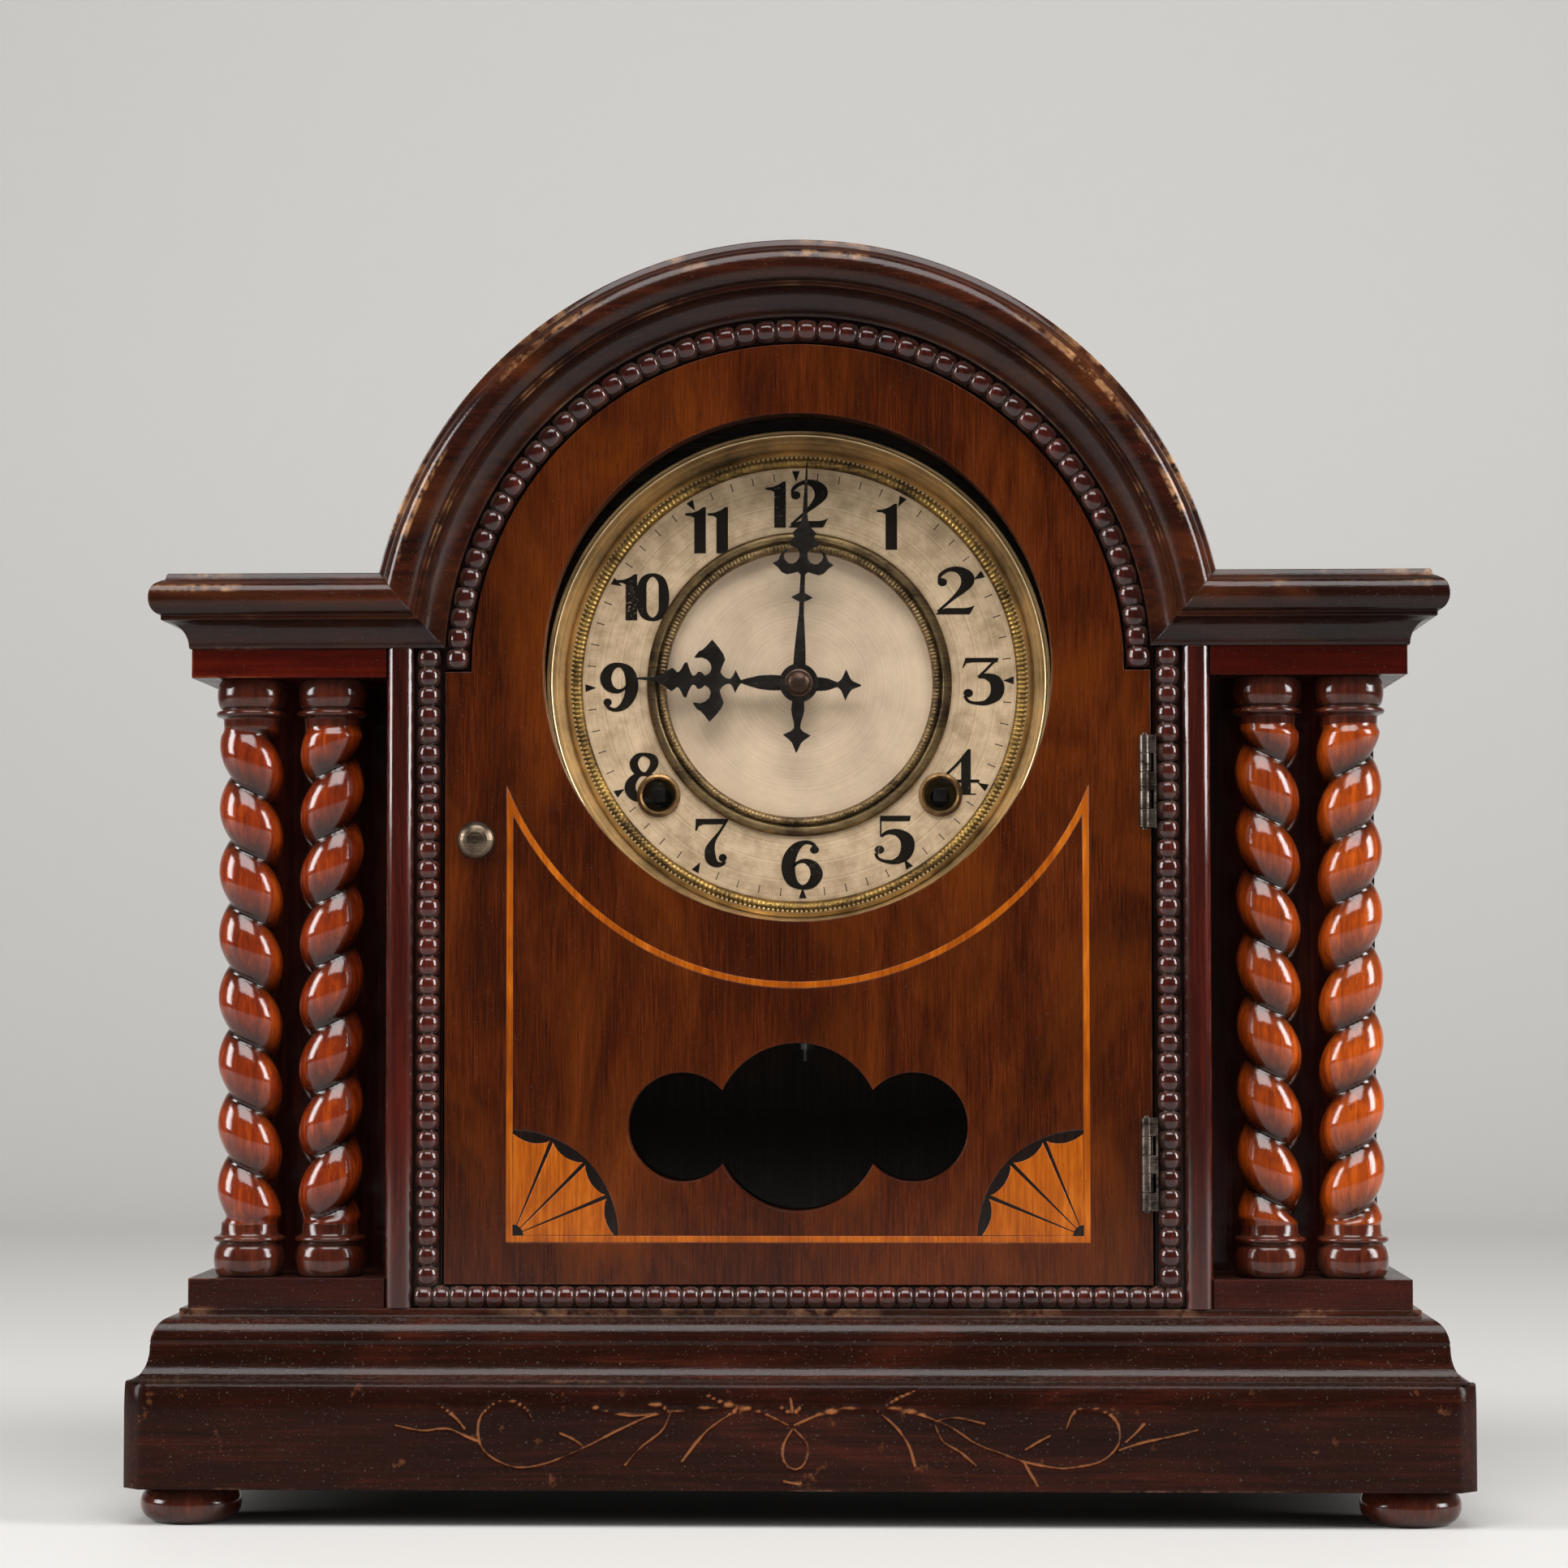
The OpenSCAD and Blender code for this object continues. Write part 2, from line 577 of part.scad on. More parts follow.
// Door
module stringing_area(grow) {
  difference() {
    translate([-stringing_x - grow, stringing_z - grow])
      square([2 * (stringing_x + grow), spring_z - stringing_z]);
    translate([0, spring_z]) circle(r = stringing_arc_r - grow, $fn = 96);
  }
}
module stringing_line() {
  difference() {
    stringing_area(stringing_w / 2);
    stringing_area(-stringing_w / 2);
  }
}
module fan_quarter(r) {
  intersection() {
    translate([fan_x, fan_z]) circle(r = r);
    translate([fan_x - 2 * r, fan_z]) square(2 * r);
  }
}
module window_outline(grow) {
  translate([0, window_z]) circle(r = window_r + grow);
  for (x = [-window_side_x, window_side_x])
    translate([x, window_z]) circle(r = window_side_r + grow);
}
module door_panel() {
  color(door_wood) difference() {
    push_y(door_y, door_back_y) difference() {
      union() {
        translate([-door_hw, door_z]) square([2 * door_hw, spring_z - door_gap - door_z]);
        intersection() {
          translate([0, spring_z]) circle(r = door_arch_r, $fn = 96);
          translate([-door_hw, spring_z - 2]) square(2 * door_hw);
        }
      }
      translate([0, opening_z]) circle(r = opening_r, $fn = 96);
      window_outline(0);
      translate([knob_x, knob_z]) circle(r = latch_bore_r);
    }
    rod_y([0, opening_z], opening_r + rebate, pane_y, door_back_y + 1);
    box_at([-window_side_x - window_side_r - rebate, pane_y, window_z - window_r - rebate],
      [window_side_x + window_side_r + rebate, door_back_y + 1, window_z + window_r + rebate]);
    push_y(door_y - 1, door_y + inlay_t) {
      stringing_line();
      fan_quarter(fan_r);
      mirror([1, 0]) fan_quarter(fan_r);
    }
    for (z = hinge_low_z) box_at([door_hw - leaf_t, door_y - 1, z],
      [door_hw + 1, door_y + leaf_depth, z + hinge_len]);
  }
}
module door_stringing() {
  color(inlay_wood) push_y(door_y, door_y + inlay_t) stringing_line();
}
module corner_fans() {
  blades = 4;
  color(inlay_wood) push_y(door_y, door_y + inlay_t) for (m = [0, 1]) mirror([m, 0])
    for (i = [0:blades - 1]) difference() {
      intersection() {
        fan_quarter(fan_r);
        translate([fan_x, fan_z]) polygon([[0, 0],
          2 * fan_r * [cos(90 + 90 / blades * i + 0.5), sin(90 + 90 / blades * i + 0.5)],
          2 * fan_r * [cos(90 + 90 / blades * (i + 1) - 0.5), sin(90 + 90 / blades * (i + 1) - 0.5)]]);
      }
      translate([fan_x, fan_z]) circle(r = 2.5);
    }
}
module dial_glass() {
  color(glass_tint) rod_y([0, opening_z], opening_r + rebate - 0.3, pane_y, pane_y + glass_t);
}
module window_glass() {
  edge = rebate - 0.3;
  color(glass_tint) box_at(
    [-window_side_x - window_side_r - edge, pane_y, window_z - window_r - edge],
    [window_side_x + window_side_r + edge, pane_y + glass_t, window_z + window_r + edge]);
}
// Knuckles of one hinge: five equal lengths, the first, third and fifth on the frame leaf
knuckle_count = 5;
module knuckles(z, first) {
  step = hinge_len / knuckle_count;
  for (i = [first:2:knuckle_count - 1]) translate([0, 0, z + i * step + 0.1])
    linear_extrude(step - 0.2) children();
}
module hinge_door_leaves() {
  color(steel) for (z = hinge_low_z) {
    knuckles(z, 1) difference() {
      union() {
        translate([hinge_x, hinge_y]) circle(r = knuckle_r);
        translate([hinge_x, hinge_y - 0.3]) square([door_hw - hinge_x, door_y - hinge_y + 0.3]);
      }
      translate([hinge_x, hinge_y]) circle(r = hinge_pin_r + run_fit);
    }
    box_at([door_hw - leaf_t, door_y - 0.2, z], [door_hw, door_y + leaf_depth, z + hinge_len]);
  }
}
module hinge_frame_leaves() {
  color(steel) for (z = hinge_low_z) {
    knuckles(z, 0) difference() {
      union() {
        translate([hinge_x, hinge_y]) circle(r = knuckle_r);
        translate([hinge_x, hinge_y - 1.3]) square([open_hw + leaf_t - hinge_x, 0.9]);
      }
      translate([hinge_x, hinge_y]) circle(r = hinge_pin_r + run_fit);
    }
    box_at([open_hw, hinge_y - 1.3, z], [open_hw + leaf_t, hinge_y + leaf_depth + 1, z + hinge_len]);
  }
}
module hinge_pins() {
  color(steel) for (z = hinge_low_z) translate([hinge_x, hinge_y, z - 0.6])
    cylinder(r = hinge_pin_r, h = hinge_len + 1.2);
}
module latch_knob() {
  finger_y = frame_back_y + 0.6;
  color(steel) {
    turned_y([knob_x, knob_z]) polygon(concat([[0, -door_y + 0.3], [knob_r * 0.75, -door_y + 0.3],
      [knob_r, -door_y + 1]], arc_points([0, -door_y + 1.2], knob_r, 3.8, 12, 90, 6)));
    rod_y([knob_x, knob_z], latch_bore_r - run_fit, door_y - 1, finger_y + 2);
    box_at([knob_x - 2.4, finger_y, knob_z - finger_len], [knob_x + 2.4, finger_y + 2, knob_z]);
  }
}

// Dial
collar_r = 6.4;
module dial_plate() {
  color(silvered) difference() {
    rod_y(centre, chapter_r + 5, dial_plate_y, dial_plate_y + dial_plate_t);
    rod_y(centre, 4.2, dial_plate_y - 1, board_y + 1);
    for (p = [time_great, strike_great]) rod_y(p, collar_r, dial_plate_y - 1, board_y + 1);
  }
}
module chapter_ring() {
  inner = inner_bezel_r + 1;
  skin = 0.8;
  color(silvered) difference() {
    turned_y(centre) polygon([[inner, -dial_y], [inner, -dial_plate_y], [inner + skin, -dial_plate_y],
      [inner + skin, -dial_y - skin], [chapter_r - skin, -dial_y - skin],
      [chapter_r - skin, -dial_plate_y], [chapter_r, -dial_plate_y], [chapter_r, -dial_y]]);
    for (p = [time_great, strike_great]) rod_y(p, collar_r, dial_y - 1, dial_plate_y + 1);
  }
}
// The outer bezel: a round knurled bead inside a flared reflecting ring
module dial_bezel() {
  bead = 1.5;
  flare = opening_r - chapter_r - 2 * bead - 0.6;
  color(brass) turned_y(centre) polygon(concat([[chapter_r, -dial_plate_y]],
    arc_points([chapter_r + bead, -dial_y + 0.4], bead, bead, 180, 20, 6),
    [[chapter_r + 2 * bead + 0.3, -dial_y + 0.4], [chapter_r + 2 * bead + flare * 0.6, -dial_y + 6],
    [chapter_r + 2 * bead + flare, -dial_y + 11.5], [chapter_r + 2 * bead + flare + 0.6, -dial_y + 11.5],
    [chapter_r + 2 * bead + flare + 0.6, -board_y], [chapter_r + 5, -board_y],
    [chapter_r + 5, -dial_plate_y]]));
}
module inner_bezel() {
  half_w = 3;
  color(brass) turned_y(centre) polygon(concat(
    [[inner_bezel_r - half_w, -dial_plate_y], [inner_bezel_r - half_w, -dial_y + 0.4]],
    arc_points([inner_bezel_r - 1.6, -dial_y + 0.6], 1.3, 1.2, 180, 10, 4),
    arc_points([inner_bezel_r + 1.3, -dial_y + 0.3], 1.7, 1.5, 150, 0, 5),
    [[inner_bezel_r + half_w, -dial_y], [inner_bezel_r + 1, -dial_y],
    [inner_bezel_r + 1, -dial_plate_y]]));
}
module winding_collars() {
  color(brass) for (p = [time_great, strike_great]) turned_y(p) polygon([
    [collar_r - 1.3, -board_y], [collar_r, -board_y], [collar_r, -dial_y],
    [collar_r + 0.5, -dial_y], [collar_r + 0.3, -dial_y + 0.9], [collar_r - 0.6, -dial_y + 1.3],
    [collar_r - 1.3, -dial_y + 0.6]]);
}

// Hands. Each outline is a list of half width and distance from the pivot, then mirrored.
hub_r = 6.1;
minute_blade = [[2, 4], [1.75, 10.6], [1.35, 15.7], [0.8, 22], [0.75, 25.5], [2.2, 26.2],
  [3.4, 26.9], [2.2, 27.6], [0.85, 28.3], [0.7, 34], [1.6, 34.9], [3, 34.5], [5, 34], [6.6, 34.6],
  [8, 36.2], [9.6, 37.4], [7.9, 38.4], [7.3, 39.8], [6.6, 41.2], [5, 42.1], [4.6, 41.7],
  [5.8, 40.9], [6.2, 39.8], [5.7, 38.5], [4.6, 37.5], [3.4, 37.4], [2.2, 38], [1.4, 39.2],
  [1.2, 40.6], [1.7, 42], [2.9, 42.7], [4.6, 43.3], [3.9, 44.6], [3, 45.8], [3.7, 47.2],
  [2.3, 48.6], [1.5, 50], [1, 51.5], [0.75, 54], [0.55, 60], [0.2, 69.2]];
minute_tail = [[2, -4], [1.9, -6.3], [2.1, -8.4], [1.7, -10.5], [1.1, -12.5], [1, -14.2],
  [1.9, -15.2], [4.4, -16.4], [2.5, -17.8], [1.4, -18.9], [0.2, -21.8]];
hour_blade = [[2.3, 4], [2.45, 9], [2.1, 12.6], [1.1, 16.4], [0.5, 18.2], [1.6, 19], [3.7, 20],
  [1.6, 20.9], [0.8, 21.6], [0.9, 22.8], [1.6, 23.9], [2.9, 24.8], [4.6, 24.3], [6.8, 23.4],
  [8.6, 24.1], [10.6, 25.6], [13, 27.7], [10.8, 29.5], [9.7, 30.6], [9.1, 31.8], [7.2, 33.2],
  [7, 32.6], [7.2, 30.8], [6.6, 29.2], [5.4, 28], [3.8, 27.6], [2.4, 28.2], [1.5, 29.5],
  [2.6, 30.8], [2.7, 31.8], [1.6, 32.6], [1.4, 33.4], [2.2, 34], [3.8, 34.7], [5.6, 35.3],
  [5.3, 36.2], [3.8, 36.9], [2.6, 37.7], [2.3, 38.4], [3.1, 39.1], [3.7, 40], [3, 41.1],
  [1.9, 42.6], [1, 44.3], [0.65, 46.5], [0.2, 52.2]];
hour_tail = [[2.1, -4], [2.15, -6.6], [1.9, -9], [1, -11.4], [0.8, -12.2], [1.8, -13.3],
  [4.9, -14.7], [2.2, -16], [1.3, -16.8], [0.2, -19.5]];
module hand(blade, tail, angle, y, hub, bore) {
  turn = -angle;
  difference() {
    union() {
      push_y(y, y + hand_t) translate(centre) rotate(turn) {
        polygon(mirrored(blade));
        polygon(mirrored([for (i = [len(tail) - 1:-1:0]) tail[i]]));
      }
      rod_y(centre, hub, y, y + hand_t);
    }
    rod_y(centre, bore, y - 1, y + hand_t + 1);
  }
}
pipe_bore_r = centre_r + run_fit;
pipe_r = 3.6;
module hour_hand() {
  color(blackened) hand(hour_blade, hour_tail, hour_angle, hand_y, hub_r - 0.6, pipe_r);
}
module minute_hand() {
  color(blackened) hand(minute_blade, minute_tail, minute_angle, minute_hand_y, hub_r, centre_r);
}
module hand_nut() {
  color(steel) difference() {
    turned_y(centre) polygon(concat([[0, -minute_hand_y], [4.4, -minute_hand_y],
      [4.4, -minute_hand_y + 0.5], [3.8, -minute_hand_y + 0.8]],
      arc_points([0, -minute_hand_y + 1], 3.8, 2.2, 10, 90, 6)));
    rod_y(centre, arbor_r, minute_hand_y - 2, minute_hand_y + 1);
  }
}

// Wheels. A tooth has radial sides below its pitch line and leans in to a narrow tip above it.
function tooth(n, m, width, tip, k) = let(c = 360 * k / n, w = width * 180 / n,
  root = m * (n / 2 - 1.3), pitch = m * n / 2, top = m * (n / 2 + 0.9))
  [for (e = [[root, -1], [pitch, -1], [top, -tip], [top, tip], [pitch, 1], [root, 1]])
  e[0] * [cos(c + e[1] * w), sin(c + e[1] * w)]];
module teeth(n, m, width) {
  polygon([for (k = [0:n - 1]) for (p = tooth(n, m, width, 0.35, k)) p]);
}
// A wheel whose tooth 0 points at the heading, and a pinion with a gap there
module wheel(p, n, m, y0, y1, toward) {
  push_y(y0, y1) translate(p) rotate(toward) teeth(n, m, 0.42);
}
module pinion(p, n, m, y0, y1, toward) {
  push_y(y0, y1) translate(p) rotate(toward + 180 / n) teeth(n, m, 0.36);
}
module arbor(p) {
  rod_y(p, arbor_r, gap_y + 0.5, gap_back_y - 0.5);
  rod_y(p, pivot_r, plate_y, plate_back_y);
}
plate_outline = mirrored([[plate_hw, plate_bottom], [plate_hw, shoulder_z - 24],
  [plate_hw - 8, shoulder_z], [plate_top_hw, plate_top]]);
module movement_frame() {
  pivots = [second, third, escape, strike_second, fly_post];
  fit_r = pivot_r + run_fit;
  cock_z = pivot[1] - 1;
  color(brass) {
    difference() {
      union() {
        push_y(plate_y, gap_y) polygon(plate_outline);
        rod_y(minute_post, arbor_r, plate_y - 8, plate_y + 0.5);
      }
      for (p = concat(pivots, [pivot])) rod_y(p, fit_r, plate_y - 1, gap_y + 1);
      rod_y(centre, centre_r + run_fit, plate_y - 1, gap_y + 1);
      for (p = [time_great, strike_great]) rod_y(p, winding_r + run_fit, plate_y - 1, gap_y + 1);
    }
    difference() {
      union() {
        push_y(gap_back_y, plate_back_y) polygon(plate_outline);
        rod_y(hammer_post, arbor_r, plate_back_y - 0.5, gong_y - 2);
        difference() {
          union() {
            box_at([-3, plate_back_y - 0.5, cock_z + 5], [3, pendulum_y + 3.5, cock_z + 9]);
            box_at([-3, pendulum_y - 3.2, cock_z], [3, pendulum_y + 3.5, cock_z + 6]);
          }
          box_at([-0.7, pendulum_y - 4, cock_z - 1], [0.7, pendulum_y + 4, cock_z + 4.3]);
        }
      }
      for (p = concat(pivots, [centre, time_great, strike_great]))
        rod_y(p, fit_r, gap_back_y - 1, plate_back_y + 1);
      rod_y(pivot, arbor_r + run_fit, gap_back_y - 1, plate_back_y + 1);
    }
    for (p = pillar_spots) {
      rod_y(p, pillar_r, gap_y, gap_back_y);
    }
  }
}
module centre_wheel() {
  color(brass) {
    wheel(centre, centre_n, centre_m, centre_y, centre_y + wheel_t, heading(centre, third));
    pinion(centre, centre_pinion_n, second_m, second_y - 1.5, second_y + 3,
      heading(centre, second));
    pinion(centre, cannon_n, minute_m, plate_y - 5, plate_y - 0.6, heading(centre, minute_post));
    rod_y(centre, arbor_r, gap_y - 1, gap_back_y - 0.5);
    rod_y(centre, pivot_r, gap_y, plate_back_y);
    rod_y(centre, centre_r, minute_hand_y, gap_y + 0.4);
    rod_y(centre, arbor_r, minute_hand_y - 2, plate_y);
  }
}
module minute_wheel() {
  color(brass) difference() {
    union() {
      wheel(minute_post, minute_n, minute_m, plate_y - 4, plate_y - 3,
        heading(minute_post, centre));
      pinion(minute_post, minute_pinion_n, hour_m, plate_y - 7.6, plate_y - 4,
        heading(minute_post, centre));
    }
    rod_y(minute_post, arbor_r + run_fit, plate_y - 9, plate_y);
  }
}
module hour_wheel() {
  color(brass) difference() {
    union() {
      wheel(centre, hour_n, hour_m, plate_y - 7, plate_y - 6, heading(centre, minute_post));
      rod_y(centre, pipe_r, hand_y - 0.4, plate_y - 6);
    }
    rod_y(centre, pipe_bore_r, hand_y - 1, plate_y);
  }
}
module second_wheel() {
  color(brass) {
    wheel(second, second_n, second_m, second_y, second_y + wheel_t, heading(second, centre));
    pinion(second, great_pinion_n, great_m, great_y - 1.5, great_y + 3.5,
      heading(second, time_great));
    arbor(second);
  }
}
module third_wheel() {
  color(brass) {
    wheel(third, third_n, third_m, third_y, third_y + wheel_t, heading(third, escape));
    pinion(third, train_pinion_n, centre_m, centre_y - 2, centre_y + 3, heading(third, centre));
    arbor(third);
  }
}
module escape_wheel() {
  count = 30;
  color(brass) {
    pinion(escape, train_pinion_n, third_m, third_y - 1.5, third_y + 3, heading(escape, third));
    push_y(escape_y, escape_y + wheel_t) translate(escape) polygon([for (k = [0:count - 1])
      for (e = [[escape_r - 2.4, -4], [escape_r, 0], [escape_r - 0.2, 0.8], [escape_r - 2.4, 2]])
      e[0] * [cos(360 * k / count + e[1]), sin(360 * k / count + e[1])]]);
    arbor(escape);
  }
}
// Anchor with two arms that reach down either side of the escape wheel, and the crutch behind
module pallets() {
  drop = pivot[1] - escape[1];
  // Clear of the wheel through the whole swing
  tip = escape_r + 1.4;
  crutch_y = plate_back_y + 0.8;
  color(steel) {
    push_y(escape_y - 1, escape_y + wheel_t + 1) difference() {
      translate(pivot) union() {
        polygon(mirrored([[2, -2.6], [13.8, -drop + 5.6], [17, -drop + 8.4], [3, 2.4]]));
        circle(r = 3);
      }
      translate(escape) circle(r = tip);
    }
    rod_y(pivot, arbor_r, gap_y + 0.5, crutch_y + 1.5);
    rod_y(pivot, pivot_r, plate_y, gap_y + 1);
    rod_y(pivot, 3, crutch_y, crutch_y + 1.5);
    box_at([-1, crutch_y, pivot[1] - 42], [1, crutch_y + 1.5, pivot[1]]);
    box_at([-2.1, crutch_y, pivot[1] - 44], [2.1, crutch_y + 1.5, pivot[1] - 41]);
    for (x = [-1, 1]) translate([x * 1.65 - 0.45, crutch_y, pivot[1] - 44])
      cube([0.9, pendulum_y - crutch_y + 1.5, 3]);
  }
}
rod_r = 0.8;
module pendulum_rod() {
  color(steel) {
    box_at([-0.2, pendulum_y - 2.5, pivot[1] - 12], [0.2, pendulum_y + 2.5, pivot[1] + 3]);
    translate([0, pendulum_y, bob_z - bob_r - 7]) cylinder(r = rod_r, h = pendulum_len + bob_r - 4);
    translate([0, pendulum_y, bob_z - bob_r - 3.2]) cylinder(r = 3.2, h = 3);
  }
}
module pendulum_bob() {
  color(brass) difference() {
    turned_y([0, bob_z]) polygon(concat([[0, -pendulum_y - 3.6]],
      arc_points([0, -pendulum_y], bob_r, 3.6, -80, -20, 4),
      arc_points([0, -pendulum_y], bob_r, 3.6, 20, 80, 4), [[0, -pendulum_y + 3.6]]));
    translate([0, pendulum_y, bob_z - bob_r - 1]) cylinder(r = rod_r, h = 2 * bob_r + 2);
  }
}
// Great wheel, free on its winding arbor, with the click that holds the ratchet
module great_wheel(p, toward) {
  difference() {
    union() {
      wheel(p, great_n, great_m, great_y, great_y + 2, toward);
      push_y(great_y + 1.5, great_y + 3.6) translate(p) rotate(120)
        polygon([[ratchet_r + 0.8, -1], [ratchet_r + 3, 0], [ratchet_r + 4, 8], [ratchet_r + 1, 9]]);
    }
    rod_y(p, winding_r + run_fit, great_y - 1, great_y + 5);
    for (a = [0:60:300]) rod_y(polar(p, 22, a + 30), 6, great_y - 1, great_y + 4);
  }
}
module time_great_wheel() {
  color(brass) great_wheel(time_great, heading(time_great, second));
}
module strike_great_wheel() {
  color(brass) great_wheel(strike_great, heading(strike_great, strike_second));
}
// Winding arbor: squared front end in the dial collar, ratchet behind the great wheel
module winding_arbor(p) {
  square_w = 4.2;
  count = 16;
  rod_y(p, winding_r, plate_y - 4, gap_back_y - 0.5);
  rod_y(p, pivot_r, gap_back_y - 1, plate_back_y);
  push_y(dial_y - 0.6, plate_y - 3.5) translate(p) square(square_w, center = true);
  push_y(ratchet_y, ratchet_y + 1.2) translate(p) polygon([for (k = [0:count - 1])
    for (e = [[ratchet_r, 0], [ratchet_r - 1.6, 2]])
    e[0] * [cos(360 * k / count + e[1]), sin(360 * k / count + e[1])]]);
}
module time_winding_arbor() { color(steel) winding_arbor(time_great); }
module strike_winding_arbor() { color(steel) winding_arbor(strike_great); }
// A flat spiral in steps, from inner to outer radius, as a closed strip outline
turn_steps = 20;
function spiral(inner, outer, turns, side) = let(n = turn_steps * turns)
  [for (i = [0:n]) (inner + (outer - inner) * i / n + side) *
  [cos(360 * i / turn_steps), sin(360 * i / turn_steps)]];
module spiral_strip(inner, outer, turns, t) {
  back = spiral(inner, outer, turns, t / 2);
  polygon(concat(spiral(inner, outer, turns, -t / 2), [for (i = [len(back) - 1:-1:0]) back[i]]));
}
module mainsprings() {
  spring_t = 0.9;
  spring_r = great_m * great_n / 2 - 7;
  spring_w = 13.6;
  spring_y = ratchet_y + 2.4;
  color(steel) for (p = [time_great, strike_great]) push_y(spring_y, spring_y + spring_w)
    translate(p) spiral_strip(winding_r + spring_t, spring_r, 8, spring_t);
}
module strike_second_wheel() {
  color(brass) {
    wheel(strike_second, second_n, second_m, second_y, second_y + wheel_t,
      heading(strike_second, fly_post));
    pinion(strike_second, great_pinion_n, great_m, great_y - 1.5, great_y + 3.5,
      heading(strike_second, strike_great));
    arbor(strike_second);
  }
}
module fly() {
  color(brass) {
    pinion(fly_post, train_pinion_n, second_m, second_y - 1.5, second_y + 3,
      heading(fly_post, strike_second));
    box_at([fly_post[0] - 11, escape_y, fly_post[1] - 0.6],
      [fly_post[0] + 11, escape_y + 11, fly_post[1] + 0.6]);
    arbor(fly_post);
  }
}
module strike_hammer() {
  head = [-(gong_r + 1.5 + 2 + 5), gong_z];
  hub_y = gong_y - 9;
  color(steel) difference() {
    union() {
      rod_y(hammer_post, 3.4, hub_y, hub_y + 5);
      push_y(hub_y + 1, hub_y + 3) polygon([hammer_post + [-1.2, 0], hammer_post + [1.2, 0],
        head + [1.2, 0], head + [-1.2, 0]]);
      rod_y(head, 1.2, hub_y + 1, gong_y + 2);
      rod_y(head, 5, gong_y - 4, gong_y + 5);
    }
    rod_y(hammer_post, arbor_r + run_fit, hub_y - 1, hub_y + 6);
  }
}
block_r = 9;
module gong() {
  wire = 3;
  color(steel) push_y(gong_y, gong_y + wire) translate([0, gong_z])
    spiral_strip(block_r + wire / 2 + 0.2, gong_r, 3, wire);
}
module gong_block() {
  color(steel) {
    rod_y([0, gong_z], block_r, gong_y - 2, back_y);
    rod_y([0, gong_z], 16, back_y - 5, back_y);
  }
}

base_front_board();
base_side_boards();
base_floor();
base_deck();
base_moulding();
feet();
plinth_blocks();
column_left_outer();
column_left_inner();
column_right_inner();
column_right_outer();
frieze_blocks();
wing_cornices();
arch_cornice();
wing_panels();
front_frame();
case_sides();
stile_strips();
bead_strips();
arch_bead_strip();
arch_roof();
back_board();
inner_boards();
door_panel();
door_stringing();
corner_fans();
dial_glass();
window_glass();
hinge_door_leaves();
hinge_frame_leaves();
hinge_pins();
latch_knob();
dial_plate();
chapter_ring();
dial_bezel();
inner_bezel();
winding_collars();
hour_hand();
minute_hand();
hand_nut();
movement_frame();
centre_wheel();
minute_wheel();
hour_wheel();
second_wheel();
third_wheel();
escape_wheel();
pallets();
pendulum_rod();
pendulum_bob();
time_great_wheel();
strike_great_wheel();
time_winding_arbor();
strike_winding_arbor();
mainsprings();
strike_second_wheel();
fly();
strike_hammer();
gong();
gong_block();
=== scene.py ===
"""Dresses an arched mantel clock: shellacked case, twist columns, bead mouldings, inlaid door,
silvered dial with black hands, and the studio it stands in. Sizes are in millimetres unless a
name says otherwise; X runs right, Y runs back and Z up, with the floor at 0."""

import logging
import math
from collections.abc import Callable, Sequence
from dataclasses import dataclass, field, replace
from enum import Enum
from functools import cache, partial
from typing import Any

import bmesh
import bpy
import numpy as np
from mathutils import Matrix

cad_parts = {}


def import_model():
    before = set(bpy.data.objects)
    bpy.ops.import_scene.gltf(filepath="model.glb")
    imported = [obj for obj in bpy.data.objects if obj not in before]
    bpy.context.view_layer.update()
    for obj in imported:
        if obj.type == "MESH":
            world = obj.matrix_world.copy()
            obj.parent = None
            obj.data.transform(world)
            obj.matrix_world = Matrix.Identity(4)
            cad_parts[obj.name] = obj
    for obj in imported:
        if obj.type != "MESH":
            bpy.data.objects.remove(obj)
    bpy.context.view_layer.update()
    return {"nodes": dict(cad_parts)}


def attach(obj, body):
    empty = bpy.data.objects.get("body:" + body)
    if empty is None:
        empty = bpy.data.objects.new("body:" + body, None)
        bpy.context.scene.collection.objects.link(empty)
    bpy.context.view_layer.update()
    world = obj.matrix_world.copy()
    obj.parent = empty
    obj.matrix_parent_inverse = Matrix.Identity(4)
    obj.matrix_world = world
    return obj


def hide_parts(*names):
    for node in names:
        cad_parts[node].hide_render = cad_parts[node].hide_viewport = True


LOG = logging.getLogger("mantel_clock")
MM = 0.001
Point = tuple[float, float, float]
Flat = tuple[float, float]
Adder = Callable[..., Any]

DIAL_Z = 258.4
DIAL_Y = -40.0
SPRING_Z = 261.5
DECK_Z = 65.0
CORNICE_Z = 268.0
BLOCK_Y = -67.0
FRAME_Y = -62.0
DOOR_Y = -66.0
BACK_Y = 78.0
WING_HW = 187.4
BASE_HW = 205.0
BASE_Y = -82.5


class Grain(Enum):
    """The axis that the fibres of a board run along."""

    ACROSS = 0
    DEEP = 1
    UPRIGHT = 2


def hex_colour(code: str) -> tuple[float, float, float, float]:
    """Turns an sRGB colour into linear light.

    Args:
        code: Six hex digits, with or without a leading hash.

    Returns:
        Red, green, blue and an alpha of 1.
    """
    code = code.lstrip("#")
    shares = [int(code[i:i + 2], 16) / 255 for i in (0, 2, 4)]
    linear = [s / 12.92 if s <= 0.04045 else ((s + 0.055) / 1.055) ** 2.4 for s in shares]
    return (linear[0], linear[1], linear[2], 1.0)


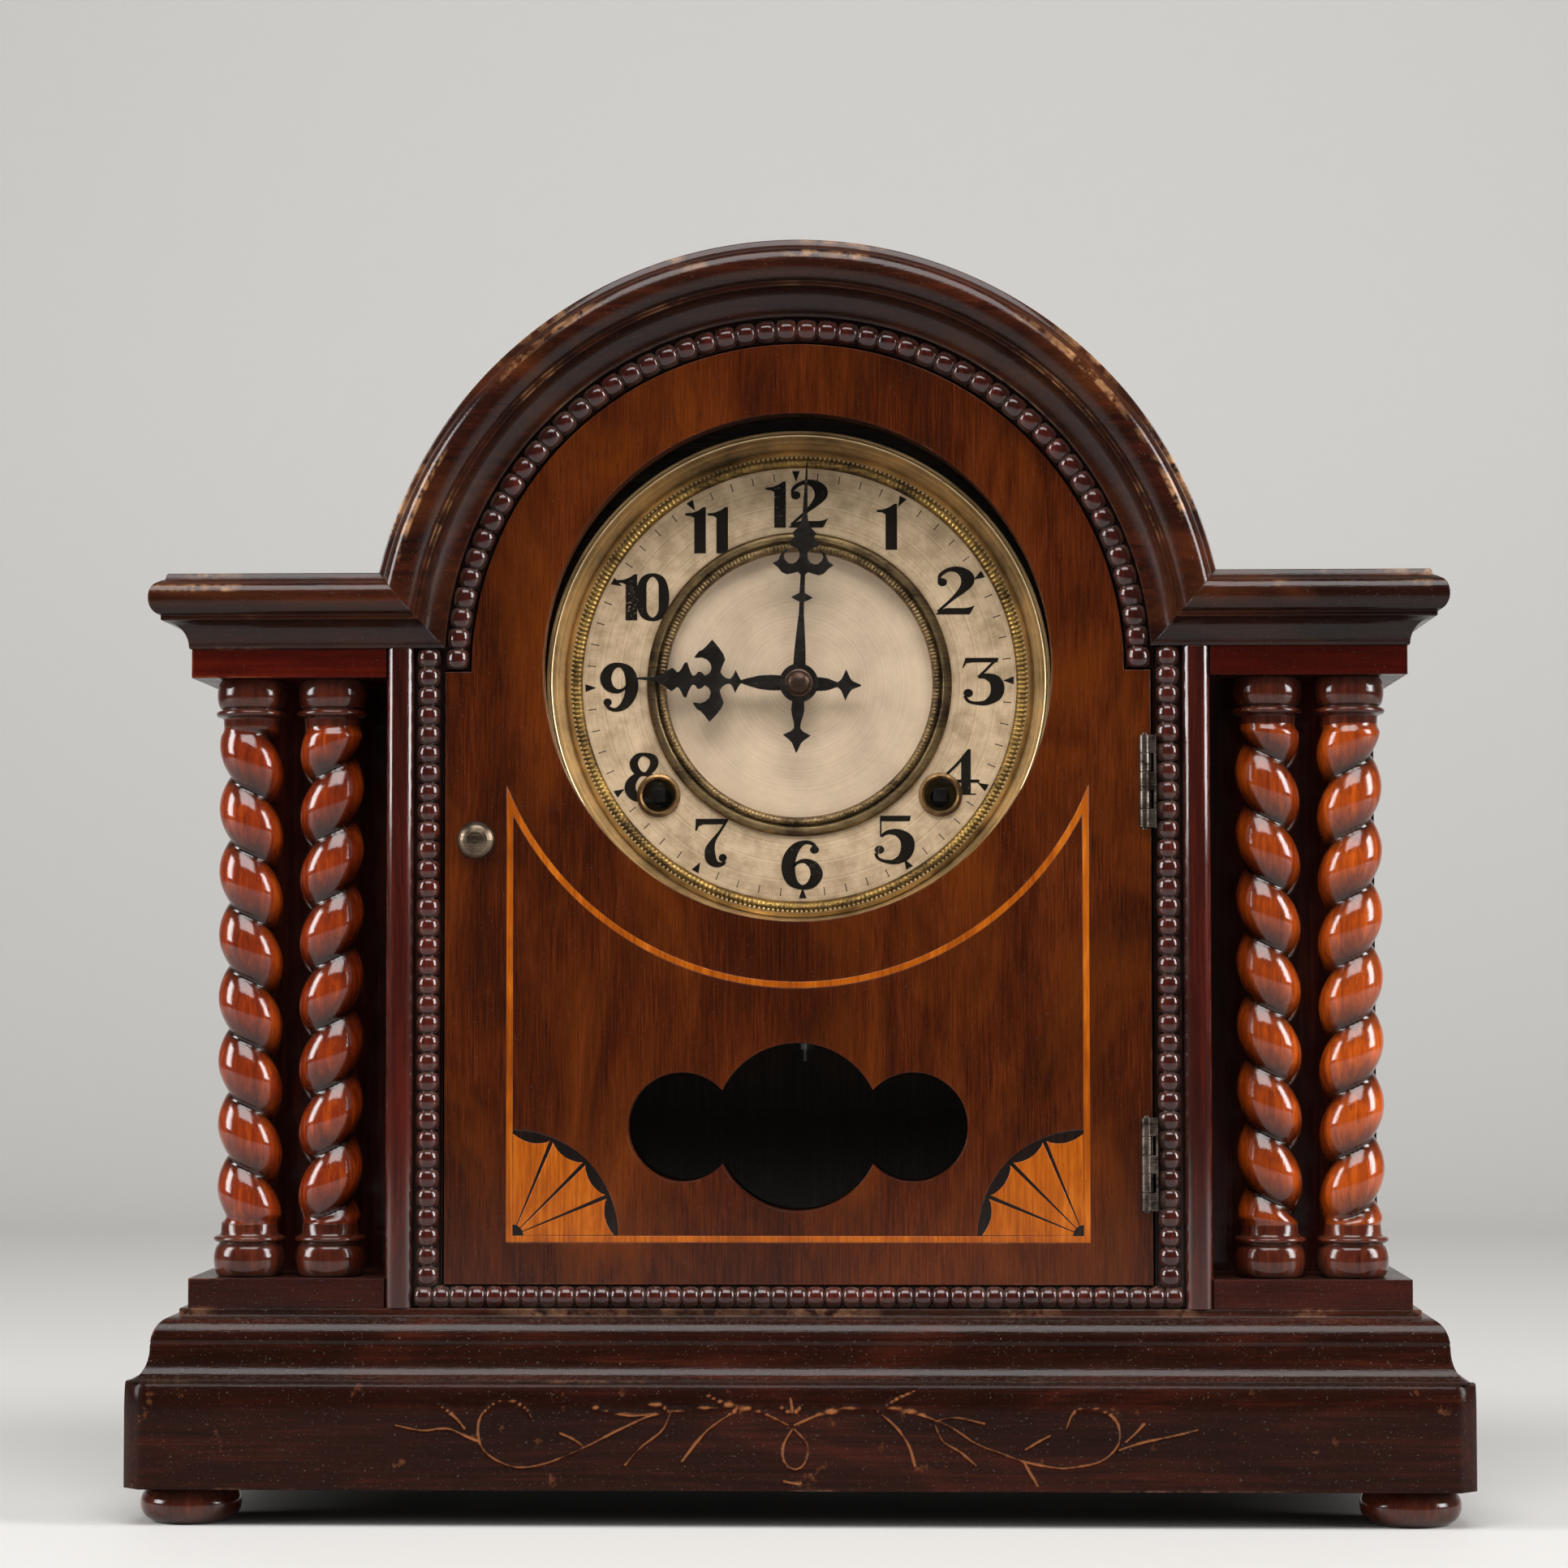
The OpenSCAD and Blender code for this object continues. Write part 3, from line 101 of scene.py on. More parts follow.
def node(tree: bpy.types.NodeTree, kind: str, *values: Any, out: int | str = 0,
         stops: Sequence[tuple[float, str]] = (), **settings: Any) -> bpy.types.NodeSocket | None:
    """Adds one node with its settings, values and links.

    Args:
        tree: The tree that gets the node.
        kind: Its type name. One without "Node" in it is a shader node.
        *values: What its sockets get, in order, or one dictionary with socket names or numbers.
            A value is a plain one, a hex colour, or the socket that feeds it.
        out: Name or number of the output that is handed back.
        stops: Places and hex colours of a colour ramp.
        **settings: Properties of the node itself.

    Returns:
        The output socket, or None for a node that has none.
    """
    made = tree.nodes.new(kind if "Node" in kind else "ShaderNode" + kind)
    for name, value in settings.items():
        setattr(made, name, value)
    fed = values[0] if values and isinstance(values[0], dict) else dict(enumerate(values))
    for key, value in fed.items():
        if isinstance(value, bpy.types.NodeSocket):
            tree.links.new(value, made.inputs[key])
        elif isinstance(value, str) and value.startswith("#"):
            made.inputs[key].default_value = hex_colour(value)
        else:
            made.inputs[key].default_value = value
    if stops:
        ramp = made.color_ramp
        for place, _ in stops[2:]:
            ramp.elements.new(place)
        for element, (place, code) in zip(ramp.elements, stops):
            element.position = place
            element.color = hex_colour(code)
    return made.outputs[out] if made.outputs else None


@dataclass(frozen=True)
class Finish:
    """What a piece is dressed in. Each kind of finish brings its own shader."""

    name: str

    @cache
    def material(self) -> bpy.types.Material:
        """Builds the material once and hands out the same one after that.

        Returns:
            The material.
        """
        made = bpy.data.materials.new(self.name)
        made.use_nodes = True
        made.node_tree.nodes.clear()
        add = partial(node, made.node_tree)
        add("OutputMaterial", self.shader(add, add("TexCoord", out="Object")))
        return made

    def shader(self, add: Adder, place: bpy.types.NodeSocket) -> bpy.types.NodeSocket:
        """Builds the shader.

        Args:
            add: Adds a node to the material's tree, as the function node does.
            place: Object coordinates, in metres.

        Returns:
            The shader's output.
        """
        raise NotImplementedError


@dataclass(frozen=True)
class Wood(Finish):
    """Shellacked hardwood: fibre streaks, cloudy figure, open pores, worn arrises, dust in corners.

    The streaks are as wide as latewood bands, the pores 0.35 mm by 6 mm as in mahogany and walnut.

    Attributes:
        dark, mid, light: Colours of the grain.
        streak_mm, figure_mm: Widths of its streaks and of its cloudy figure.
        fibre, contrast: Share of the streaks against the figure, and how hard the grain shows.
        worn, wear: Bare colour of rubbed arrises, and how much of it shows.
        dust_colour, dust, specks: Colour and shares of the dust and of its coarse grains.
        glow, glow_share: Colour of the warm clouds, if any, and their share.
        shade_by: Attribute of the mesh that calls for the groove colour near 0:
            painted shade in the twist's grooves, the bare wood of the cut line on the base.
        shade_stop, shade_patches: Where that colour ends,
            and how far smudges move its border.
        underside: How dark faces that look down are painted, as shade.
    """

    dark: str
    mid: str
    light: str
    grain: Grain = Grain.ACROSS
    streak_mm: float = 1.6
    figure_mm: float = 26.0
    rough: float = 0.30
    coat: float = 0.6
    worn: str = "#7d5232"
    wear: float = 0.6
    dust_colour: str = "#5b5048"
    dust: float = 0.35
    glow: str = ""
    shade_by: str = ""
    shade_colour: str = "#140504"
    shade_stop: float = 0.75
    shade_patches: float = 0.3
    contrast: float = 1.0
    fibre: float = 0.5
    glow_share: float = 0.4
    specks: float = 0.0
    underside: float = 0.7

    def fields(self, add: Adder, place: bpy.types.NodeSocket) -> dict[str, bpy.types.NodeSocket]:
        """Random fields that the finish is made of.

        The ones without a grain are as wide as a real mark: scuffs 42 mm, grime 17 mm, smudges
        8 mm, chips 4 mm, fluff 1.1 mm and grit 0.8 mm.

        Args:
            add: Adds a node to the material's tree.
            place: Object coordinates, in metres.

        Returns:
            Name of the field to its value. One that a finish has no use for stays unlinked.
        """
        found = {}
        for name, width, length, detail, bend in (
                ("streaks", self.streak_mm, self.streak_mm * 30, 6.0, 0.5),
                ("figure", self.figure_mm, self.figure_mm * 3.5, 3.0, 1.3),
                ("pores", 0.35, 6.0, 2.0, 0.0), ("clouds", 32.0, 90.0, 3.0, 0.8)):
            per_metre = [1000 / (length if axis == self.grain.value else width)
                         for axis in range(3)]
            grained = add("Mapping", {"Vector": place, "Scale": per_metre})
            found[name] = add("TexNoise", {"Vector": grained, "Scale": 1.0, "Detail": detail,
                                           "Roughness": 0.62, "Distortion": bend})
        for name, scale, detail in (("scuffs", 24.0, 3.0), ("grime", 60.0, 5.0),
                                    ("smudges", 130.0, 4.0), ("chips", 230.0, 6.0),
                                    ("fluff", 900.0, 3.0), ("grit", 1300.0, 2.0)):
            found[name] = add("TexNoise", {"Vector": place, "Scale": scale, "Detail": detail,
                                           "Roughness": 0.62})
        return found

    def shader(self, add: Adder, place: bpy.types.NodeSocket) -> bpy.types.NodeSocket:
        """Lays glow, pores, groove colour, worn arrises, painted underside shade and dust on the
        grain.

        Args:
            add: Adds a node to the material's tree.
            place: Object coordinates, in metres.

        Returns:
            The shader's output.
        """
        found = self.fields(add, place)
        layers = []
        if self.glow:
            clouds = add("MapRange", found["clouds"], 0.45, 0.75)
            layers.append((add("Math", clouds, self.glow_share, operation="MULTIPLY"), self.glow))
        layers.append((add("MapRange", found["pores"], 0.40, 0.30, 0.0, 0.55), self.dark))
        # Groove colour: painted shade in the twist's grooves, bare paler wood in the base's cut line.
        if self.shade_by:
            relief = add("Attribute", out="Fac", attribute_name=self.shade_by)
            smudges = add("Math", found["smudges"], 0.5, operation="SUBTRACT")
            wander = add("Math", smudges, self.shade_patches, relief, operation="MULTIPLY_ADD")
            layers.append((add("MapRange", wander, 0.05, self.shade_stop, 1.0, 0.0),
                           self.shade_colour))
        face = add("NewGeometry", out="Normal")
        bend = add("VectorMath", add("Bevel", 1.2 * MM, samples=4), face, out="Value",
                   operation="DOT_PRODUCT")
        rim = add("Attribute", out="Fac", attribute_name="arris")
        arris = add("Math", add("MapRange", bend, 0.985, 0.88), rim, operation="MAXIMUM")
        chips = add("Math", add("MapRange", found["chips"], 0.42, 0.56),
                    add("MapRange", found["scuffs"], 0.52, 0.64), operation="MULTIPLY")
        rubbed = add("Math", arris, chips, operation="MULTIPLY")
        layers.append((add("Math", rubbed, self.wear, operation="MULTIPLY"), self.worn))
        upward = add("SeparateXYZ", face, out="Z")
        # Painted shade: faces that look down are darkened, towards the groove shade on the twist.
        layers.append((add("MapRange", upward, -0.1, -0.8, 0.0, self.underside),
                       self.shade_colour if self.shade_by == "relief" else self.dark))
        open_air = add("AmbientOcclusion", {"Distance": 7 * MM}, out="AO", samples=4)
        corners = add("Math", add("MapRange", open_air, 0.85, 0.35),
                      add("MapRange", found["grime"], 0.3, 0.65), operation="MULTIPLY")
        settled = add("Math", add("MapRange", upward, 0.35, 1.0),
                      add("MapRange", found["fluff"], 0.45, 0.7), corners,
                      operation="MULTIPLY_ADD")
        dusty = add("Math", settled, self.dust, operation="MULTIPLY")
        if self.specks:
            grit = add("MapRange", found["grit"], 0.66, 0.70, 0.0, self.specks)
            dusty = add("Math", dusty, grit, operation="MAXIMUM")
        layers.append((dusty, self.dust_colour))

        tone = add("Math", found["streaks"], self.fibre,
                   add("Math", found["figure"], 1 - self.fibre, operation="MULTIPLY"),
                   operation="MULTIPLY_ADD")
        spread = 0.15 / self.contrast
        colour = add("ValToRGB", tone, stops=[
            (0.50 - spread, self.dark), (0.50, self.mid), (0.50 + spread, self.light)])
        for share, over in layers:
            colour = add("Mix", {0: share, 6: colour, 7: over}, out=2, data_type="RGBA")
        matt = add("Math", dusty, 0.5, add("MapRange", found["grime"], 0.3, 0.7,
                                           self.rough - 0.05, self.rough + 0.1),
                   operation="MULTIPLY_ADD")
        height = add("Math", found["pores"], 0.6,
                     add("Math", found["streaks"], 0.4, operation="MULTIPLY"),
                     operation="MULTIPLY_ADD")
        normal = add("Bump", {"Strength": 0.35, "Distance": 0.12 * MM, "Height": height,
                              "Normal": add("Bevel", 0.45 * MM, samples=4)})
        return add("BsdfPrincipled", {
            "Base Color": colour, "Roughness": matt, "Normal": normal, "IOR": 1.5,
            "Specular IOR Level": 0.03, "Coat Weight": self.coat, "Coat Roughness": 0.08,
            "Coat IOR": 1.5, "Coat Normal": normal})


@dataclass(frozen=True)
class Metal(Finish):
    """A polished, spun or brushed metal part with toned patches and fine marks from the lathe.

    Attributes:
        bright, toned: Colours of the clean metal and of its toned patches.
        toning, patch_mm: How strong and how wide the patches are.
        spun: Whether the marks run in rings round the dial's centre.
        speckle: Colour of fine specks, if any.
    """

    bright: str
    toned: str
    rough: float = 0.3
    metallic: float = 1.0
    toning: float = 0.5
    patch_mm: float = 9.0
    spun: bool = False
    speckle: str = ""

    def shader(self, add: Adder, place: bpy.types.NodeSocket) -> bpy.types.NodeSocket:
        """Tones the metal. Spun marks run in rings round the dial's centre, 0.6 mm apart.

        Brushed marks lie level, 6 mm long and 0.5 mm apart, and specks are 0.7 mm wide.

        Args:
            add: Adds a node to the material's tree.
            place: Object coordinates, in metres.

        Returns:
            The shader's output.
        """
        patches = add("TexNoise", {"Vector": place, "Scale": 1000 / self.patch_mm,
                                   "Detail": 5.0, "Roughness": 0.65})
        if self.spun:
            centred = add("Mapping", {"Vector": place, "Location": (0, 0, -DIAL_Z * MM),
                                      "Scale": (1, 0, 1)})
            radius = add("VectorMath", centred, out="Value", operation="LENGTH")
            marks = add("TexNoise", {"W": radius, "Scale": 1600.0, "Detail": 3.0},
                        noise_dimensions="1D")
        else:
            brushed = add("Mapping", {"Vector": place, "Scale": (160, 160, 2200)})
            marks = add("TexNoise", {"Vector": brushed, "Scale": 1.0, "Detail": 3.0})
        shift = add("Math", marks, 0.35, patches, operation="MULTIPLY_ADD")
        share = add("MapRange", shift, 0.52, 0.86, 0.0, self.toning * 1.6)
        layers = [(share, self.toned)]
        if self.speckle:
            grit = add("TexNoise", {"Vector": place, "Scale": 1400.0, "Detail": 4.0,
                                    "Roughness": 0.7})
            layers.append((add("MapRange", grit, 0.58, 0.72, 0.0, 0.8), self.speckle))
        colour = self.bright
        for share, over in layers:
            colour = add("Mix", {0: share, 6: colour, 7: over}, out=2, data_type="RGBA")
        normal = add("Bump", {"Strength": 0.25, "Distance": 0.05 * MM, "Height": marks,
                              "Normal": add("Bevel", 0.25 * MM, samples=4)})
        return add("BsdfPrincipled", {
            "Base Color": colour, "Metallic": self.metallic, "Normal": normal,
            "Roughness": add("MapRange", shift, 0.45, 0.95, self.rough, self.rough + 0.22)})


@dataclass(frozen=True)
class PrintedInk(Finish):
    """Black transfer print, rubbed through to the silvering in small specks."""

    ink: str
    under: str
    gaps: float

    def shader(self, add: Adder, place: bpy.types.NodeSocket) -> bpy.types.NodeSocket:
        """Rubs the print. The specks are about 0.3 mm, as on a wiped dial.

        Args:
            add: Adds a node to the material's tree.
            place: Object coordinates, in metres.

        Returns:
            The shader's output.
        """
        fine = add("TexNoise", {"Vector": place, "Scale": 1500.0, "Detail": 4.0,
                                "Roughness": 0.7})
        broad = add("TexNoise", {"Vector": place, "Scale": 55.0, "Detail": 2.0})
        both = add("Math", broad, 0.6, fine, operation="MULTIPLY_ADD")
        worn = add("MapRange", both, 1.02 - self.gaps, 1.10 - self.gaps)
        colour = add("Mix", {0: worn, 6: self.ink, 7: self.under}, out=2, data_type="RGBA")
        return add("BsdfPrincipled", {"Base Color": colour, "Roughness": 0.5,
                                      "Specular IOR Level": 0.08})


@dataclass(frozen=True)
class ClearGlass(Finish):
    """Old sheet glass with a faint film of dust specks. It lets lamp light straight through.

    Its IOR lies under window glass's 1.5, so that it mirrors little of the pale studio.
    """

    def shader(self, add: Adder, place: bpy.types.NodeSocket) -> bpy.types.NodeSocket:
        """Lays the dust on the glass, and leaves both out for shadow rays and diffuse rays.

        Args:
            add: Adds a node to the material's tree.
            place: Object coordinates, in metres.

        Returns:
            The shader's output.
        """
        specks = add("TexNoise", {"Vector": place, "Scale": 1100.0, "Detail": 2.0})
        glass = add("BsdfPrincipled", {"Base Color": "#fafaf8", "Roughness": 0.0, "IOR": 1.22,
                                       "Transmission Weight": 1.0})
        dust = add("BsdfPrincipled", {"Base Color": "#a8a098", "Roughness": 0.9})
        dusted = add("MixShader", add("MapRange", specks, 0.74, 0.80, 0.0, 0.1), glass, dust)
        path = add("LightPath").node.outputs
        passes = add("Math", path["Is Shadow Ray"], path["Is Diffuse Ray"], operation="MAXIMUM")
        return add("MixShader", passes, dusted, add("BsdfTransparent"))


# Shellac on mahogany, brushed on thick: nearly black, red brown where light gets in, golden
# where hands and dusters have rubbed an edge.
CASE_WOOD = Wood("shellacked_dark_mahogany", "#110502", "#200a05", "#39150a", Grain.ACROSS,
                 specks=0.3, wear=1.0, worn="#a0744f", coat=0.5, dust=0.12, glow="#5f3013")
CASE_UPRIGHT = Wood("dark_mahogany_upright", "#100402", "#1c0805", "#33110a", Grain.UPRIGHT,
                    coat=0.3, dust=0.12)
CASE_DEEP = Wood("dark_mahogany_side_boards", "#140603", "#270d07", "#40170c", Grain.DEEP,
                 coat=0.35, dust=0.15)
# French polished strips, the glossiest of the flat wood.
STILE_WOOD = Wood("glossy_mahogany_stiles", "#180502", "#310b06", "#4b150b", Grain.UPRIGHT,
                  rough=0.2, coat=1.0, wear=0.8, worn="#8c5136")
# The same shellac gone matt, with bare paler wood in the cut line of the vine.
BASE_WOOD = Wood("dark_mahogany_cut_line", "#130502", "#200a05", "#36130a", Grain.ACROSS,
                 rough=0.42, coat=0.15, dust=0.2, specks=0.45, wear=0.9, worn="#8a6450",
                 shade_by="groove_up", shade_colour="#8a5431", shade_stop=0.66, shade_patches=2.2)
# Mouldings and blocks that lie flat enough to hold grey dust and lint.
MOULD_WOOD = Wood("dusty_mahogany_moulding", "#130502", "#220b05", "#3b160b", Grain.ACROSS,
                  coat=0.35, dust=0.3, specks=0.6, wear=0.7, worn="#8c6248")
BLOCK_WOOD = Wood("red_mahogany_blocks", "#240603", "#3b0a04", "#54150a", Grain.ACROSS,
                  coat=0.3, dust=0.12, wear=0.8, worn="#8a4a2a", contrast=0.7, specks=0.3)
# The plinths are the blocks' wood painted darker, as painted shade, and dustier.
SHADED_PLINTH_WOOD = Wood("dusty_mahogany_plinths_painted_shade", "#180503", "#290a05", "#3d130a", Grain.ACROSS,
                   coat=0.25, dust=0.2, wear=0.8, worn="#7d4a30", contrast=0.7, specks=0.6)
# Straight grained walnut veneer, orange brown in cloudy patches, with fine dark pores.
DOOR_WOOD = Wood("walnut_door_veneer", "#1c0802", "#391303", "#54220a", Grain.UPRIGHT,
                 streak_mm=0.55, figure_mm=30.0, coat=0.4, glow="#76370a", dust=0.08, wear=0.35,
                 contrast=0.95, fibre=0.6, specks=0.2)
# Unpolished softwood behind and inside, brown and dull.
BACK_WOOD = Wood("aged_pine_back_board", "#2b1e13", "#3e2d1e", "#513c28", Grain.UPRIGHT,
                 figure_mm=60.0, rough=0.6, coat=0.0, wear=0.3, worn="#6d543b", dust=0.2,
                 contrast=0.6)
INSIDE_WOOD = Wood("bare_inside_softwood", "#1c120b", "#33241a", "#4a3626", Grain.ACROSS,
                   rough=0.7, coat=0.0, wear=0.1, dust=0.2)
# Beech cut to a twist under amber shellac: orange crests, the grooves painted nearly black as shade.
TWIST_RIGHT = Wood("amber_shellac_beech_right", "#5c1d08", "#8a360a", "#b65013", Grain.UPRIGHT,
                   rough=0.22, coat=1.0, wear=0.5, worn="#c98443", dust=0.15,
                   shade_by="relief", shade_colour="#0d0402", shade_stop=1.0)
# The left pair is a darker copy of the same shellac: painted shade.
SHADED_TWIST_LEFT = replace(TWIST_RIGHT, name="amber_shellac_beech_left_painted_shade", dark="#4c1606", mid="#76270a",
                     light="#a0420e", worn="#c07c40")
# Turned ends and beads take the shellac thickly, so they are dark with sharp glints.
TURNED_ENDS = Wood("dark_shellac_turned_ends", "#240a05", "#42180c", "#622a17", Grain.UPRIGHT,
                   rough=0.24, coat=0.8, dust=0.25)
BEAD_WOOD = Wood("dark_mahogany_beads", "#1c0806", "#340e09", "#4e180f", Grain.UPRIGHT,
                 rough=0.16, coat=1.0, wear=0.1, dust_colour="#7d6d62", dust=0.4)
# Sawn satinwood and scorched veneer, level with the door: warm orange against black.
INLAY_WOOD = Wood("satinwood_inlay", "#723306", "#954808", "#b26015", Grain.UPRIGHT,
                  streak_mm=0.7, figure_mm=12.0, wear=0.0, dust=0.05)
SCORCHED = Wood("scorched_black_inlay", "#0a0706", "#120a07", "#24120b", Grain.UPRIGHT,
                wear=0.0, dust=0.05)
# Brass silvered by rubbing: a warm matt off-white that tones to tan. The coat is grainy and
# hardly mirrors, so its metallic is low.
SILVERED = Metal("silvered_brass_dial", "#d6bea3", "#a48f78", rough=0.45, metallic=0.2,
                 toning=0.35, patch_mm=16.0, spun=True, speckle="#c2ab8e")
SILVERED_WORN = Metal("silvered_brass_chapter_ring", "#d3b999", "#97805f", rough=0.48,
                      metallic=0.2, toning=0.55, patch_mm=8.0, spun=True, speckle="#ddcfb8")
# Brass as spun, knurled or rolled, bright between patches that have toned brown.
SPUN_BRASS = Metal("spun_brass_bezel", "#dcbd8b", "#715a38", rough=0.36, toning=0.6, patch_mm=24.0,
                   spun=True)
KNURLED_BRASS = Metal("knurled_brass", "#8f7340", "#3f301c", rough=0.24, toning=0.7, patch_mm=12.0)
TONED_BRASS = Metal("dark_toned_brass", "#85704f", "#372a1e", rough=0.26, toning=0.7,
                    patch_mm=12.0)
RIM_BRASS = Metal("rubbed_brass_rim", "#e0cda6", "#9c7f54", rough=0.3, toning=0.4)
# Brushed brass and steel of the movement; the winding arbors are painted dark as the shade inside
# their holes.
MOVEMENT_BRASS = Metal("movement_brass", "#b9954a", "#806430", rough=0.3)
MOVEMENT_STEEL = Metal("movement_steel", "#8b8b8e", "#4f4a46", rough=0.3, toning=0.4)
SHADED_ARBOR_STEEL = Metal("arbor_steel_painted_shade", "#3a3634", "#151312", rough=0.22, toning=0.6)
# Small fittings and the hands, dark with age, so that mostly their edges glint.
COLLAR_METAL = Metal("darkened_brass_collar", "#8f6f4a", "#2e2216", rough=0.26, toning=0.6)
BLUED_STEEL = Metal("blackened_steel_hands", "#120e0b", "#1b1613", rough=0.16, metallic=0.2)
HINGE_METAL = Metal("dull_plated_hinge_steel", "#7b7067", "#2c241e", rough=0.26, toning=0.8,
                    patch_mm=5.0)
KNOB_METAL = Metal("bronzed_steel_knob", "#6f6152", "#2c231b", rough=0.24, toning=0.6)
NUT_STEEL = Metal("brown_toned_steel_nut", "#4d3c33", "#231a16", rough=0.26)
# Transfer print: solid brownish black numerals and a thinner, greyer minute track.
DIAL_INK = PrintedInk("rubbed_black_numerals", "#140f0a", "#a8937a", 0.03)
FADED_INK = PrintedInk("faded_minute_track", "#2d2822", "#a8937a", 0.08)
GLASS = ClearGlass("old_sheet_glass")


def arc(centre: Flat, radii: Flat, start: float, end: float, steps: int) -> list[Flat]:
    """Points on an elliptic arc, with its angles in degrees.

    Args:
        centre: Middle of the ellipse.
        radii: Its two radii; a negative one mirrors it.
        start: First angle.
        end: Last angle.
        steps: Number of straight parts.

    Returns:
        The points in order.
    """
    angles = [math.radians(start + (end - start) * i / steps) for i in range(steps + 1)]
    return [(centre[0] + radii[0] * math.cos(a), centre[1] + radii[1] * math.sin(a))
            for a in angles]


def smooth_line(points: Sequence[Sequence[float]], closed: bool = False,
                steps: int = 7) -> list[tuple[float, ...]]:
    """Runs a smooth curve through points of any dimension.

    Args:
        points: The points to pass through.
        closed: Whether the curve comes back to its start.
        steps: Parts between two of the points.

    Returns:
        Points along the curve.
    """
    if len(points) < 3:
        return [tuple(p) for p in points]
    known = [np.array(p, float) for p in points]
    count = len(known)
    line = []
    for i in range(count if closed else count - 1):
        before = known[i - 1] if closed or i else known[0]
        a, b = known[i], known[(i + 1) % count]
        after = known[(i + 2) % count] if closed or i + 2 < count else known[-1]
        for k in range(steps):
            t = k / steps
            line.append(tuple(0.5 * (2 * a + (b - before) * t
                                     + (2 * before - 5 * a + 4 * b - after) * t * t
                                     + (3 * a - before - 3 * b + after) * t ** 3)))
    if not closed:
        line.append(tuple(known[-1]))
    return line


def between(start: Sequence[Point], end: Sequence[Point], steps: int) -> list[list[Point]]:
    """Rings in equal steps from one section to another.

    Args:
        start: Points of the first section.
        end: Points of the last section.
        steps: Number of steps.

    Returns:
        The rings, with the first and the last section.
    """
    return [[tuple(a + (b - a) * k / steps for a, b in zip(p, q)) for p, q in zip(start, end)]
            for k in range(steps + 1)]


@dataclass
class Form:
    """The points and faces of one piece while it is made, with a number per point for its finish."""

    name: str
    points: list[Point] = field(default_factory=list)
    faces: list[tuple[int, ...]] = field(default_factory=list)
    arris: list[float] = field(default_factory=list)

    def loft(self, rings: Sequence[Sequence[Point]], round_row: bool = False, caps: bool = True,
             arris: Sequence[float] | None = None) -> None:
        """Joins closed rings of equal length into a skin.

        Args:
            rings: The rings in order.
            round_row: Whether the last ring joins the first.
            caps: Whether the two ends get a face.
            arris: How far each point of a ring is rubbed.
        """
        start, size, count = len(self.points), len(rings[0]), len(rings)
        for ring in rings:
            self.points.extend(ring)
            self.arris.extend(arris or [0.0] * size)
        for i in range(count if round_row else count - 1):
            a, b = start + i * size, start + (i + 1) % count * size
            for k in range(size):
                n = (k + 1) % size
                self.faces.append((a + k, a + n, b + n, b + k))
        if caps and not round_row:
            self.faces.append(tuple(range(start, start + size)))
            self.faces.append(tuple(range(start + (count - 1) * size, start + count * size)))

    def slab(self, outline: Sequence[Flat], front: float, back: float) -> None:
        """A flat piece in X and Z, from its front depth to its back depth."""
        self.loft([[(x, front, z) for x, z in outline], [(x, back, z) for x, z in outline]])

    def plate(self, outline: Sequence[Flat], low: float, high: float) -> None:
        """A flat piece in X and Y, between two heights."""
        self.loft([[(x, y, low) for x, y in outline], [(x, y, high) for x, y in outline]])

    def turned(self, profile: Sequence[Flat], centre: Point, steps: int = 64) -> None:
        """A form turned about an upright axis.

        Args:
            profile: Radius and height of each point, from the foot up.
            centre: Foot of the axis.
            steps: Number of sides round it.
        """
        rings = [[(centre[0] + r * math.cos(a), centre[1] + r * math.sin(a), centre[2] + h)
                  for a in (2 * math.pi * k / steps for k in range(steps))] for r, h in profile]
        self.loft(rings)

    def build(self, finish: Finish, smooth: float = 40.0) -> bpy.types.Object:
        """Makes the object.

        Args:
            finish: What it is dressed in.
            smooth: Faces that meet at less than this many degrees are shaded as one.

        Returns:
            The object, linked to the scene.
        """
        mesh = bpy.data.meshes.new(self.name)
        mesh.from_pydata([(x * MM, y * MM, z * MM) for x, y, z in self.points], [], self.faces)
        if any(self.arris):
            mesh.attributes.new("arris", "FLOAT", "POINT").data.foreach_set("value", self.arris)
        sealed = bmesh.new()
        sealed.from_mesh(mesh)
        bmesh.ops.remove_doubles(sealed, verts=sealed.verts, dist=1e-7)
        bmesh.ops.recalc_face_normals(sealed, faces=sealed.faces)
        for face in sealed.faces:
            face.smooth = True
        for edge in sealed.edges:
            if len(edge.link_faces) == 2 and edge.calc_face_angle() > math.radians(smooth):
                edge.smooth = False
        sealed.to_mesh(mesh)
        sealed.free()
        mesh.materials.append(finish.material())
        piece = bpy.data.objects.new(self.name, mesh)
        bpy.context.scene.collection.objects.link(piece)
        return piece


